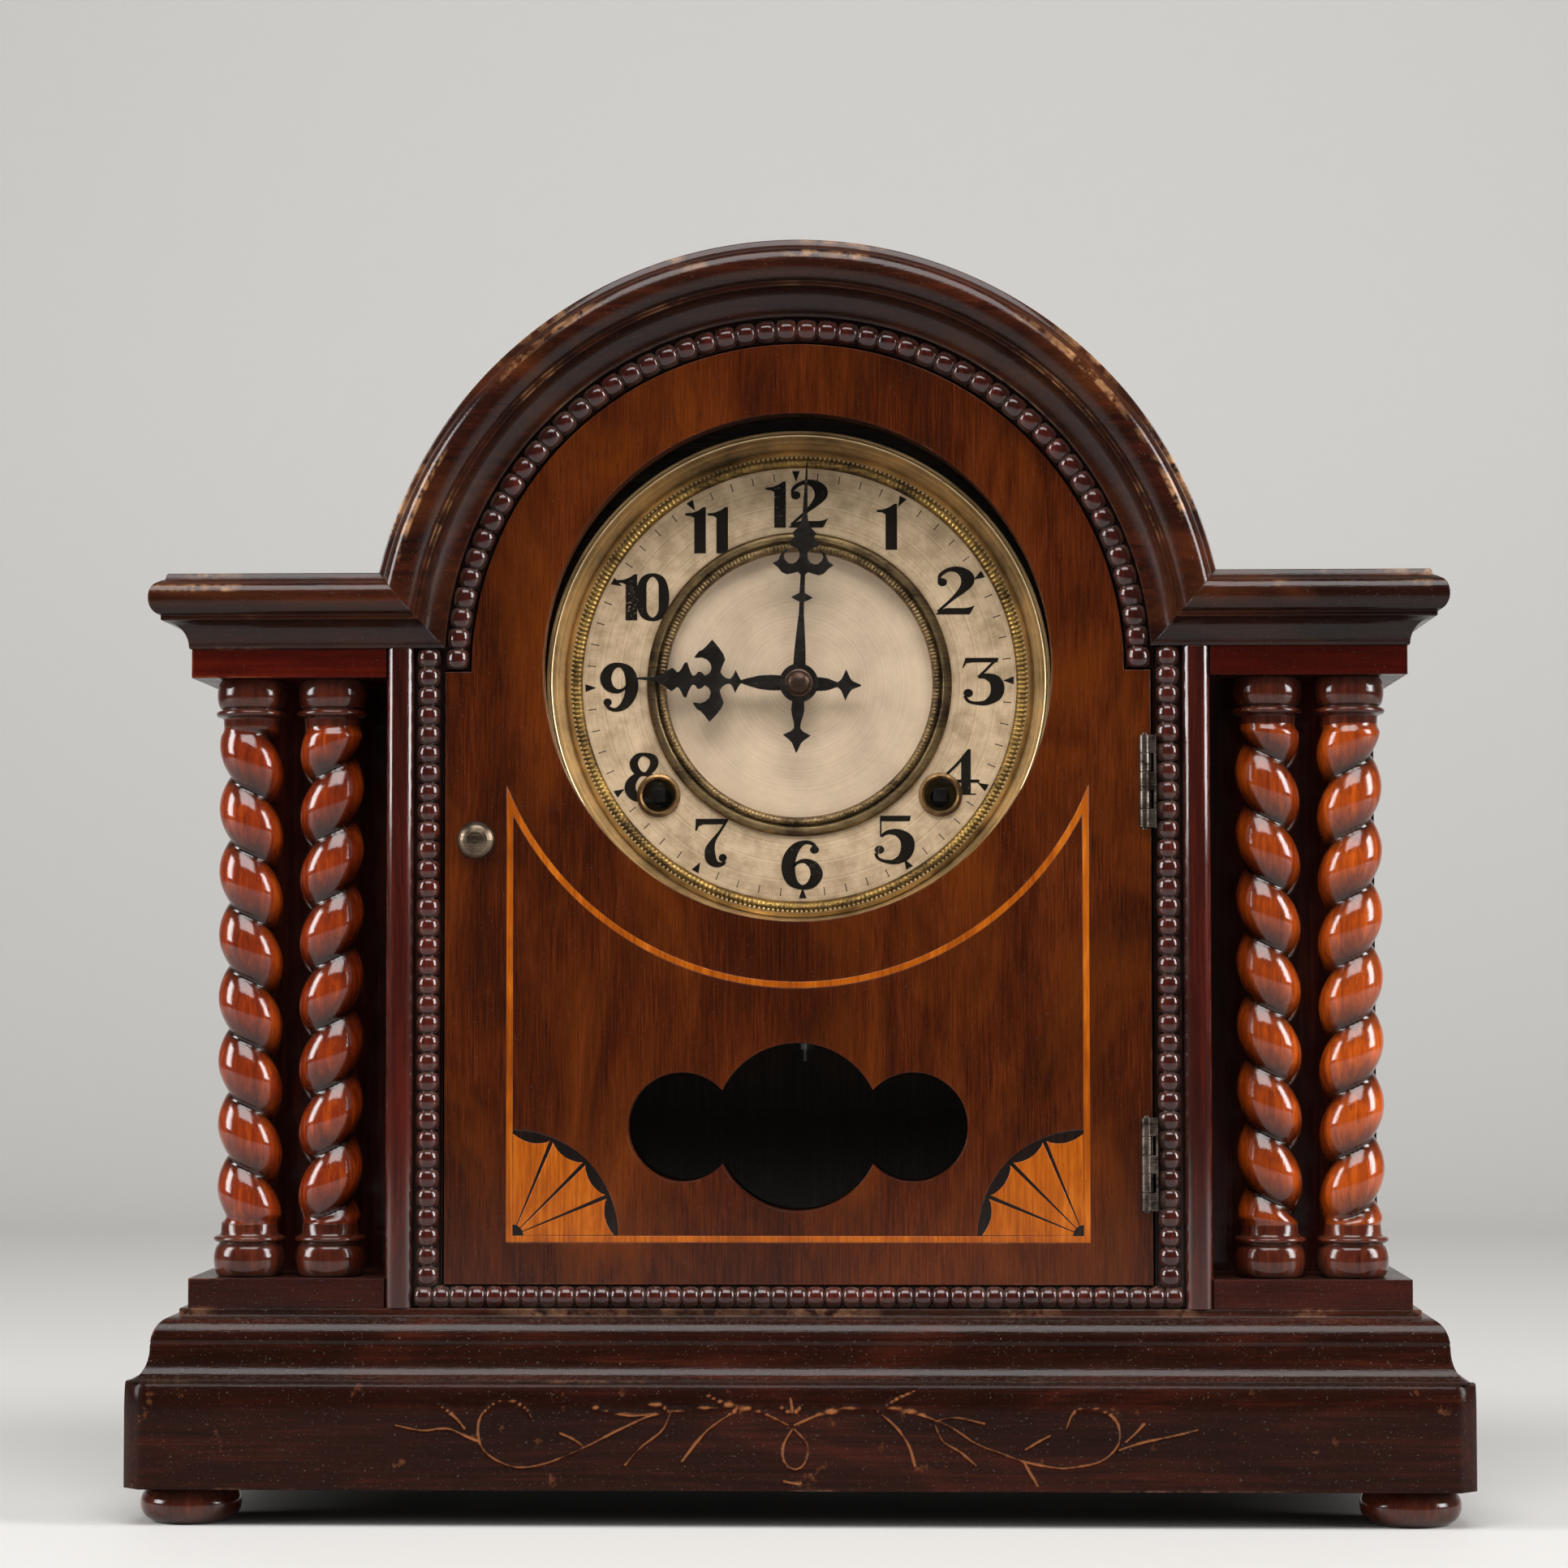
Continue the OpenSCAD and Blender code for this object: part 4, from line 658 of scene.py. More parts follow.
def grown(name: str, tree: bpy.types.GeometryNodeTree, sizes: dict[str, Any],
          path: Sequence[Sequence[Point]] = ()) -> bpy.types.Object:
    """Runs a node tree once and keeps what it makes as a plain mesh.

    Args:
        name: Name of the piece.
        tree: The tree.
        sizes: Values of its named inputs.
        path: Open lines that it works along, in millimetres.

    Returns:
        The piece, with no modifier on it.
    """
    start = bpy.data.meshes.new(name + "_path")
    points, edges = [], []
    for line in path:
        edges += [(len(points) + i, len(points) + i + 1) for i in range(len(line) - 1)]
        points += [(x * MM, y * MM, z * MM) for x, y, z in line]
    start.from_pydata(points, edges, [])
    host = bpy.data.objects.new(name + "_host", start)
    bpy.context.scene.collection.objects.link(host)
    modifier = host.modifiers.new("grow", "NODES")
    modifier.node_group = tree
    for item in tree.interface.items_tree:
        if item.item_type == "SOCKET" and item.in_out == "INPUT" and item.name in sizes:
            modifier[item.identifier] = sizes[item.name]
    depsgraph = bpy.context.evaluated_depsgraph_get()
    mesh = bpy.data.meshes.new_from_object(host.evaluated_get(depsgraph), depsgraph=depsgraph)
    host.modifiers.remove(modifier)
    bpy.data.objects.remove(host)
    bpy.data.meshes.remove(start)
    mesh.name = name
    piece = bpy.data.objects.new(name, mesh)
    bpy.context.scene.collection.objects.link(piece)
    return piece


def new_tree(name: str, sizes: dict[str, tuple[str, Any]],
             ) -> tuple[bpy.types.GeometryNodeTree, Adder, Any]:
    """Starts a geometry tree with named inputs, and one for its material.

    Args:
        name: Name of the tree.
        sizes: Input name to its socket type and default.

    Returns:
        The tree, what adds a node to it, and the outputs of its input node.
    """
    tree = bpy.data.node_groups.new(name, "GeometryNodeTree")
    tree.interface.new_socket("Geometry", in_out="INPUT", socket_type="NodeSocketGeometry")
    for key, (kind, value) in sizes.items():
        made = tree.interface.new_socket(key, in_out="INPUT", socket_type="NodeSocket" + kind)
        made.default_value = value
    tree.interface.new_socket("Material", in_out="INPUT", socket_type="NodeSocketMaterial")
    tree.interface.new_socket("Geometry", in_out="OUTPUT", socket_type="NodeSocketGeometry")
    add = partial(node, tree)
    return tree, add, add("NodeGroupInput").node.outputs


def close_tree(add: Adder, shape: bpy.types.NodeSocket, given: Any) -> None:
    """Ends a tree: its shape is made real, shaded smooth and dressed.

    Args:
        add: Adds a node to the tree.
        shape: The geometry that the tree makes.
        given: Outputs of its input node.
    """
    real = add("GeometryNodeRealizeInstances", {"Geometry": shape})
    shaded = add("GeometryNodeSetShadeSmooth", {"Geometry": real})
    add("NodeGroupOutput", {"Geometry": add("GeometryNodeSetMaterial", {
        "Geometry": shaded, "Material": given["Material"]})})


def twist_tree() -> bpy.types.GeometryNodeTree:
    """The rule of a one-groove twisted shaft: a tube whose radius follows a helix.

    Returns:
        A tree with the sizes of the shaft as named inputs. It stores "relief", 0 in the groove
        and 1 on the crest.
    """
    tree, add, given = new_tree("twisted_shaft", {
        "Length": ("Float", 0.15), "Crest": ("Float", 0.01), "Valley": ("Float", 0.006),
        "Neck": ("Float", 0.0087), "Soft End": ("Float", 0.0032), "Pitch": ("Float", 0.02),
        "Hand": ("Float", 1.0), "Lobe Height": ("Float", 0.1), "Place": ("Vector", (0, 0, 0))})
    tube = add("GeometryNodeMeshCylinder", {
        "Vertices": 56, "Side Segments": 220, "Radius": 0.01, "Depth": given["Length"]},
        fill_type="NONE")
    at = add("SeparateXYZ", add("GeometryNodeInputPosition")).node.outputs
    height = add("Math", given["Length"], 0.5, at["Z"], operation="MULTIPLY_ADD")
    around = add("Math", at["Y"], at["X"], operation="ARCTAN2")
    rise = add("Math", height, given["Lobe Height"], operation="SUBTRACT")
    turns = add("Math", rise, given["Pitch"], operation="DIVIDE")
    lead = add("Math", add("Math", turns, 2 * math.pi, operation="MULTIPLY"), given["Hand"],
               operation="MULTIPLY")
    angle = add("Math", add("Math", around, lead, operation="SUBTRACT"), math.pi, operation="ADD")
    wave = add("Math", add("Math", angle, 0.5, operation="MULTIPLY"), operation="SINE")
    relief = add("Math", add("Math", wave, operation="ABSOLUTE"), 0.75, operation="POWER")
    left = add("Math", given["Length"], height, operation="SUBTRACT")
    full = add("Math", *(add("MapRange", {0: run, 1: 0.0, 2: given["Soft End"]},
                             interpolation_type="SMOOTHSTEP") for run in (height, left)),
               operation="MULTIPLY")
    plain = add("Math", 1.0, full, operation="SUBTRACT")
    swell = add("Math", given["Crest"], given["Valley"], operation="SUBTRACT")
    lobe = add("Math", swell, relief, given["Valley"], operation="MULTIPLY_ADD")
    radius = add("Math", lobe, full, add("Math", given["Neck"], plain, operation="MULTIPLY"),
                 operation="MULTIPLY_ADD")
    ring = [add("Math", radius, add("Math", around, operation=way), operation="MULTIPLY")
            for way in ("COSINE", "SINE")]
    # The stored relief sets where the twist's wood is painted dark as groove shade; the plain ends
    # get 0.6.
    tone = add("Math", relief, full, add("Math", plain, 0.6, operation="MULTIPLY"),
               operation="MULTIPLY_ADD")
    noted = add("GeometryNodeStoreNamedAttribute", {
        "Geometry": tube, "Name": "relief", "Value": tone}, data_type="FLOAT", domain="POINT")
    shaped = add("GeometryNodeSetPosition", {
        "Geometry": noted, "Position": add("CombineXYZ", *ring, height)})
    placed = add("GeometryNodeTransform", {"Geometry": shaped, "Translation": given["Place"]})
    close_tree(add, placed, given)
    return tree


def bead_tree() -> bpy.types.GeometryNodeTree:
    """Turned beads in a row along a path, each a barrel that narrows to a neck.

    Returns:
        A tree with count, radius and pitch as named inputs.
    """
    tree, add, given = new_tree("turned_beads", {
        "Count": ("Int", 10), "Radius": ("Float", 0.003), "Pitch": ("Float", 0.006),
        "Neck": ("Float", 0.5), "Seed": ("Int", 3)})
    barrel = add("GeometryNodeMeshCylinder", {
        "Vertices": 18, "Side Segments": 12, "Radius": 1.0, "Depth": 2.0}, fill_type="NONE")
    at = add("SeparateXYZ", add("GeometryNodeInputPosition")).node.outputs
    steep = add("Math", add("Math", at["Z"], operation="ABSOLUTE"), 2.3, operation="POWER")
    bulge = add("Math", add("Math", 1.0, steep, operation="SUBTRACT"), operation="SQRT")
    swell = add("Math", 1.0, given["Neck"], operation="SUBTRACT")
    width = add("Math", swell, bulge, given["Neck"], operation="MULTIPLY_ADD")
    wide = add("Math", width, given["Radius"], operation="MULTIPLY")
    half = add("Math", given["Pitch"], 0.505, operation="MULTIPLY")
    spot = add("CombineXYZ", *(add("Math", at[axis], by, operation="MULTIPLY")
                               for axis, by in (("X", wide), ("Y", wide), ("Z", half))))
    bead = add("GeometryNodeSetPosition", {"Geometry": barrel, "Position": spot})
    line = add("GeometryNodeMeshToCurve", {"Mesh": given["Geometry"]})
    spots = add("GeometryNodeCurveToPoints", {"Curve": line, "Count": given["Count"]},
                mode="COUNT")
    aim = add("FunctionNodeAlignRotationToVector", {"Vector": spots.node.outputs["Tangent"]},
              axis="Z")
    size = add("FunctionNodeRandomValue", {2: 0.965, 3: 1.03, "Seed": given["Seed"]}, out=1,
               data_type="FLOAT")
    row = add("GeometryNodeInstanceOnPoints", {
        "Points": spots, "Instance": bead, "Rotation": aim, "Scale": size})
    close_tree(add, row, given)
    return tree


def tick_tree() -> bpy.types.GeometryNodeTree:
    """Thin bars set round a circle that faces the front, each pointing at its centre.

    Returns:
        A tree with the ring's sizes as named inputs.
    """
    tree, add, given = new_tree("ring_of_ticks", {
        "Ring Radius": ("Float", 0.065), "Count": ("Int", 60), "Long": ("Float", 0.002),
        "Wide": ("Float", 0.0003), "High": ("Float", 0.0001), "Turn": ("Float", 0.0),
        "Centre": ("Vector", (0, 0, 0))})
    size = add("CombineXYZ", given["Long"], given["Wide"], given["High"])
    bar = add("GeometryNodeMeshCube", {"Size": size})
    circle = add("GeometryNodeCurvePrimitiveCircle", {
        "Resolution": 240, "Radius": given["Ring Radius"]}, mode="RADIUS")
    spots = add("GeometryNodeCurveToPoints", {"Curve": circle, "Count": given["Count"]},
                mode="COUNT")
    aim = add("FunctionNodeAlignRotationToVector", {"Vector": spots.node.outputs["Tangent"]},
              axis="Y")
    ring = add("GeometryNodeInstanceOnPoints", {
        "Points": spots, "Instance": bar, "Rotation": aim})
    turn = add("CombineXYZ", {2: given["Turn"]})
    turned = add("GeometryNodeTransform", {"Geometry": ring, "Rotation": turn})
    facing = add("GeometryNodeTransform", {
        "Geometry": turned, "Rotation": (math.pi / 2, 0, 0), "Translation": given["Centre"]})
    close_tree(add, facing, given)
    return tree


def settle(piece: bpy.types.Object, body: str, slot: str, *replaced: str) -> None:
    """Ties a piece to its moving body and hides the CAD nodes it stands for.

    Args:
        piece: The finished piece.
        body: Name of the body that it moves with.
        slot: Name of a finish slot; not used.
        *replaced: Names of the nodes that it stands for.
    """
    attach(piece, body)
    if replaced:
        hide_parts(*replaced)
    LOG.info("%s: %d faces on %s", piece.name, len(piece.data.polygons), body)


@dataclass
class Columns:
    """Four twisted columns with turned bases and capitals."""

    centres: tuple[float, ...] = (-170.6, -145.4, 145.4, 170.6)
    names: tuple[str, ...] = ("left_outer", "left_inner", "right_inner", "right_outer")
    hands: tuple[int, ...] = (-1, 1, -1, 1)
    lobes: tuple[float, ...] = (155.5, 151.5, 145.9, 151.5)
    depth: float = -54.0
    foot: float = 74.0
    height: float = 185.0
    low: float = 16.0
    high: float = 170.5
    crest: float = 10.0
    valley: float = 6.0
    neck: float = 8.7
    soft_end: float = 3.2
    pitch: float = 19.6

    def profile(self, top: bool) -> list[Flat]:
        """The outline of the turned base, or of the turned capital.

        Args:
            top: Whether the capital is meant.

        Returns:
            Radius and height of each point over the column's foot.
        """
        h = self.height
        if top:
            return ([(0.01, self.high - 0.5), (self.neck, self.high - 0.5), (8.9, h - 12.2)]
                    + arc((9.6, h - 10.6), (1.5, 1.1), -90, 90, 8)
                    + [(9.2, h - 9.3)] + arc((9.1, h - 4.6), (1.7, 4.6), -70, 75, 16)
                    + [(9.4, h - 0.02), (0.01, h)])
        return ([(0.01, 0.0)] + arc((9.2, 5.0), (1.8, 5.0), -80, 75, 16) + [(9.3, 10.3)]
                + arc((9.4, 11.6), (1.7, 1.1), -90, 90, 8)
                + [(8.9, 13.4), (self.neck, self.low + 0.5), (0.01, self.low + 0.5)])

    def build(self) -> None:
        """Makes the shafts by rule and turns their ends."""
        tree = twist_tree()
        for x, name, hand, lobe in zip(self.centres, self.names, self.hands, self.lobes):
            # The left pair wears the darker copy, as painted shade.
            finish = SHADED_TWIST_LEFT if x < 0 else TWIST_RIGHT
            shaft = grown("twist_shaft_" + name, tree, {
                "Length": (self.high - self.low) * MM, "Crest": self.crest * MM,
                "Valley": self.valley * MM, "Neck": self.neck * MM,
                "Soft End": self.soft_end * MM, "Pitch": self.pitch * MM,
                "Hand": float(hand), "Lobe Height": (lobe - self.low) * MM,
                "Place": (x * MM, self.depth * MM, (self.foot + self.low) * MM),
                "Material": finish.material()})
            settle(shaft, "case", "twist_wood", "column_" + name)
            ends = Form("turned_ends_" + name)
            for top in (False, True):
                ends.turned(self.profile(top), (x, self.depth, self.foot), 56)
            settle(ends.build(TURNED_ENDS), "case", "twist_wood", "column_" + name)


@dataclass
class Base:
    """Base box front with its cut vine, the moulding over it, and the bun feet."""

    low: float = 11.4
    top: float = 43.4
    chamfer: float = 5.5
    board: float = 12.0
    step: float = 0.36
    ease_out: float = 2.2
    ease_down: float = 9.0
    plain_parts: int = 20
    margin: float = 40.0
    vine_hw: float = 128.0
    cut_half: float = 0.56
    cut_depth: float = 0.35
    mould_h: float = 21.6
    foot_x: float = 186.5
    foot_y: float = 64.0
    vine: tuple[tuple[Flat, ...], ...] = (
        ((-80.1, 33.4), (-82.5, 36.7), (-87.5, 38.7), (-91.8, 37.3), (-95.5, 33.7), (-96.3, 28.9),
         (-94.9, 24.1), (-90.5, 20.5), (-83.8, 18.5), (-75.1, 19.9), (-64.1, 24.5), (-53.0, 30.1),
         (-43.1, 34.3), (-33.3, 35.7), (-23.4, 36.7), (-16.0, 36.7), (-8.6, 34.3), (-2.5, 31.3)),
        ((-121.3, 31.0), (-113.3, 29.5), (-105.9, 30.1), (-99.8, 27.7), (-96.1, 26.3)),
        ((-110.9, 39.1), (-105.9, 35.5), (-102.9, 33.1), (-100.4, 30.1)),
        ((-71.4, 28.7), (-67.5, 27.0), (-64.1, 24.5)),
        ((-38.2, 34.3), (-40.7, 29.5), (-46.8, 24.7), (-51.7, 19.3)),
        ((-47.4, 36.7), (-41.3, 37.3), (-38.2, 34.9)),
        ((-61.6, 36.7), (-53.0, 34.3), (-43.1, 34.3)),
        ((-18.5, 35.5), (-27.1, 29.5), (-34.5, 20.5)),
        ((-27.1, 40.3), (-22.2, 37.9), (-17.9, 36.7)),
        ((-1.8, 39.1), (-1.4, 37.0), (-1.2, 34.9)), ((-4.9, 36.7), (-1.2, 34.9), (1.2, 36.7)),
        ((-1.2, 30.1), (-3.9, 25.3), (-3.7, 20.5), (-0.6, 18.1), (2.5, 19.9), (3.4, 25.3),
         (-0.6, 30.1)),
        ((-3.7, 14.5), (-1.0, 14.0), (1.2, 13.9)),
        ((-0.6, 31.3), (7.4, 34.6), (18.5, 36.7), (29.6, 36.3), (38.2, 34.3), (46.8, 30.7),
         (54.2, 25.9), (61.6, 23.1), (69.0, 20.5), (78.8, 18.7), (86.2, 19.3), (92.4, 21.1),
         (96.7, 25.3), (97.3, 30.1), (94.9, 34.3), (88.7, 36.7), (83.8, 35.5), (81.3, 30.1)),
        ((41.9, 32.5), (48.0, 33.7), (56.7, 31.9)),
        ((41.9, 31.3), (44.3, 26.5), (49.3, 23.5), (54.2, 19.3)),
        ((23.4, 36.3), (29.6, 31.3), (33.9, 25.3), (35.7, 19.3)),
        ((27.1, 37.3), (31.0, 39.6), (35.7, 41.5)),
        ((97.3, 24.1), (104.7, 26.5), (113.3, 28.3), (120.7, 30.1)),
        ((99.2, 26.5), (102.0, 29.0), (104.7, 31.9)), ((68.4, 20.5), (70.5, 17.0), (72.7, 13.3)),
        ((69.0, 24.1), (72.5, 26.3), (76.4, 28.3)))

    def cut(self, xs: np.ndarray, zs: np.ndarray) -> np.ndarray:
        """How deep the vine is cut.

        Args:
            xs: Places across the board.
            zs: Their heights.

        Returns:
            The share of the full depth at each place, from 0 to 1.
        """
        near = np.full(xs.shape, 9.0)
        for stroke in self.vine:
            line = np.array(smooth_line(stroke, steps=5))
            box = ((xs > line[:, 0].min() - 1.5) & (xs < line[:, 0].max() + 1.5)
                   & (zs > line[:, 1].min() - 1.5) & (zs < line[:, 1].max() + 1.5))
            px, pz, best = xs[box], zs[box], near[box]
            for (ax, az), (bx, bz) in zip(line[:-1], line[1:]):
                dx, dz = bx - ax, bz - az
                t = np.clip(((px - ax) * dx + (pz - az) * dz) / max(dx * dx + dz * dz, 1e-9), 0, 1)
                best = np.minimum(best, np.hypot(px - ax - t * dx, pz - az - t * dz))
            near[box] = best
        return np.clip(1 - near / self.cut_half, 0, 1)

    def front_board(self) -> None:
        """The front board as one fine skin, rounded at the top and chamfered at both ends."""
        shoulder = self.top - self.ease_down
        rise = [(BASE_Y + self.board, self.low), (BASE_Y, self.low)]
        rise += [(BASE_Y, z) for z in np.arange(self.low + self.step, shoulder, self.step)]
        rise += arc((BASE_Y + self.ease_out, shoulder), (-self.ease_out, self.ease_down), 0, 90, 14)
        rise += [(BASE_Y + self.board, self.top)]
        flat, near, far = BASE_HW - self.chamfer, self.vine_hw, self.vine_hw + self.margin
        parts, fine = self.plain_parts, round(2 * near / self.step)
        inner = [-flat + self.margin * i / parts for i in range(parts)]
        inner += [-near + 2 * near * i / fine for i in range(fine + 1)]
        inner += [far + (flat - far) * i / parts for i in range(parts + 1)]
        across = [(-BASE_HW, self.board), (-BASE_HW, self.chamfer)]
        across += [(x, 0.0) for x in inner] + [(BASE_HW, self.chamfer), (BASE_HW, self.board)]
        xs = np.array([[x for x, _ in across] for _ in rise])
        deep = np.array([[d for _, d in across] for _ in rise])
        zs = np.array([[z] * len(across) for _, z in rise])
        face = np.array([[y] * len(across) for y, _ in rise])
        groove = self.cut(xs, zs) * (face < BASE_Y + self.ease_out + 0.1) * (deep == 0)
        ys = np.minimum(face + deep, BASE_Y + self.board) + self.cut_depth * groove
        form = Form("base_front_with_vine")
        form.loft([list(zip(xs[i], ys[i], zs[i])) for i in range(len(rise))], round_row=True)
        piece = form.build(BASE_WOOD, 50.0)
        co = np.zeros(len(piece.data.vertices) * 3)
        piece.data.vertices.foreach_get("co", co)
        co = co.reshape(-1, 3) / MM
        front = co[:, 1] < BASE_Y + self.ease_out + self.cut_depth + 0.05
        marks = 1 - self.cut(co[:, 0], co[:, 2]) * front
        piece.data.attributes.new("groove_up", "FLOAT", "POINT").data.foreach_set("value", marks)
        settle(piece, "case", "dark_wood", "base_front_board")

    def moulding(self) -> None:
        """Cove and ovolo moulding on three sides, mitred at the front corners."""
        h = self.mould_h
        section = [(2.2, 0.0)] + arc((2.2, 0.5 * h), (5.2, 0.46 * h), -90, 0, 14)
        section += [(7.6, 0.54 * h)] + arc((13.6, 0.5 * h), (-6.2, 0.39 * h), 8, 90, 14)
        section += [(14.8, 0.895 * h), (15.0, 0.91 * h), (15.0, h - 0.3), (15.3, h), (19.2, h),
                    (19.2, 0.0)]
        rub = [0.5 if z > 0.9 * h and i < 15.1 else 0.0 for i, z in section]
        form = Form("base_moulding_run")
        cuts = [[(side * (BASE_HW - i), BASE_Y + i if mitred else -BASE_Y, self.top + z)
                 for i, z in section]
                for side, mitred in ((-1, False), (-1, True), (1, True), (1, False))]
        for start, end in zip(cuts[:-1], cuts[1:]):
            form.loft(between(start, end, 12), caps=False, arris=rub)
        form.faces += [tuple(range(len(section))),
                       tuple(range(len(form.points) - len(section), len(form.points)))]
        settle(form.build(MOULD_WOOD), "case", "dark_wood", "base_moulding")

    def feet(self) -> None:
        """Four flattened bun feet."""
        form = Form("bun_feet")
        profile = ([(0.01, 0.0)] + arc((9.8, 5.7), (5.7, 5.7), -90, 60, 18)
                   + [(11.5, 11.0), (11.5, 11.4), (0.01, 11.4)])
        for x in (-self.foot_x, self.foot_x):
            for y in (-self.foot_y, self.foot_y):
                form.turned(profile, (x, y, 0.0), 56)
        settle(form.build(TURNED_ENDS), "case", "twist_wood", "feet")

    def build(self) -> None:
        """Makes the whole base front, moulding and feet."""
        self.front_board()
        self.moulding()
        self.feet()


@dataclass
class Cornice:
    """The moulding that runs over the wings and breaks upwards into the arch.

    Behind it each wing has two boards: foot, top, overhang, and half width at the roof.
    """

    height: float = 22.8
    inner_r: float = 109.0
    drop: float = 6.5
    back: float = -5.0
    heel: float = 12.0
    boards: tuple[tuple[float, ...], ...] = ((0.0, 9.0, 0.2, 126.9), (9.0, 22.8, 6.0, 122.6))
    arch_parts: int = 128

    def section(self) -> list[Flat]:
        """The outline of the moulding's front.

        Returns:
            How far each point stands out from the blocks, and its height over the foot.
        """
        h = self.height
        return ([(self.back, 0.0), (0.6, 0.0), (0.8, 0.4)]
                + arc((7.8, 0.4), (-7.0, 0.34 * h), 0, 90, 14)[1:]
                + [(8.3, 0.37 * h), (8.3, 0.43 * h)]
                + arc((8.4, 0.66 * h), (3.3, 0.22 * h), -75, 75, 18)
                + [(8.2, 0.9 * h), (7.1, 0.92 * h), (6.7, h - 0.4), (6.4, h), (5.6, h - 0.05)])

    def rub(self, section: Sequence[Flat]) -> list[float]:
        """Where dusters rub the section: the upper side of its bulge, and its top edge."""
        return [0.9 if 0.74 < z / self.height < 0.84 or z > 0.97 * self.height and out > 5.8
                else 0.0 for out, z in section]

    def mitre(self, z: float) -> float:
        """Half width at which the arch moulding meets the straight one, at a height over its foot."""
        return math.sqrt((self.inner_r + z) ** 2 - (self.drop + z) ** 2)

    def straight(self) -> None:
        """The run over each wing, mitred at the corner, with the boards behind it."""
        loop = self.section() + [(self.back, self.heel)]
        form = Form("wing_cornice_runs")
        for side in (-1, 1):
            stations = [
                [(side * self.mitre(z), BLOCK_Y - p, CORNICE_Z + z) for p, z in loop],
                [(side * (WING_HW + p), BLOCK_Y - p, CORNICE_Z + z) for p, z in loop],
                [(side * (WING_HW + p), BACK_Y, CORNICE_Z + z) for p, z in loop]]
            first = len(form.points)
            for start, end in zip(stations[:-1], stations[1:]):
                form.loft(between(start, end, 10), caps=False, arris=self.rub(loop))
            form.faces += [tuple(range(first, first + len(loop))),
                           tuple(range(len(form.points) - len(loop), len(form.points)))]
            for low, high, out, near in self.boards:
                meet = self.mitre(high) + 0.2
                form.plate([(side * x, y) for x, y in (
                    (meet, BLOCK_Y - out), (WING_HW + out, BLOCK_Y - out), (WING_HW + out, BACK_Y),
                    (near, BACK_Y), (near, FRAME_Y), (meet, FRAME_Y))],
                    CORNICE_Z + low, CORNICE_Z + high)
        settle(form.build(CASE_WOOD, 35.0), "case", "dark_wood", "wing_cornices")

    def arch(self) -> None:
        """The bent run over the door, cut off at both ends where it meets the straight ones."""
        loop = self.section() + [(self.back, self.height)]
        rings = []
        for k in range(self.arch_parts + 1):
            ring = []
            for p, z in loop:
                radius = self.inner_r + z
                low = math.asin((self.drop + z) / radius)
                a = low + (math.pi - 2 * low) * k / self.arch_parts
                ring.append((radius * math.cos(a), BLOCK_Y - p, SPRING_Z + radius * math.sin(a)))
            rings.append(ring)
        form = Form("arch_cornice_run")
        form.loft(rings, arris=self.rub(loop))
        settle(form.build(CASE_WOOD, 35.0), "case", "dark_wood", "arch_cornice")

    def build(self) -> None:
        """Makes the two straight runs and the arch."""
        self.straight()
        self.arch()


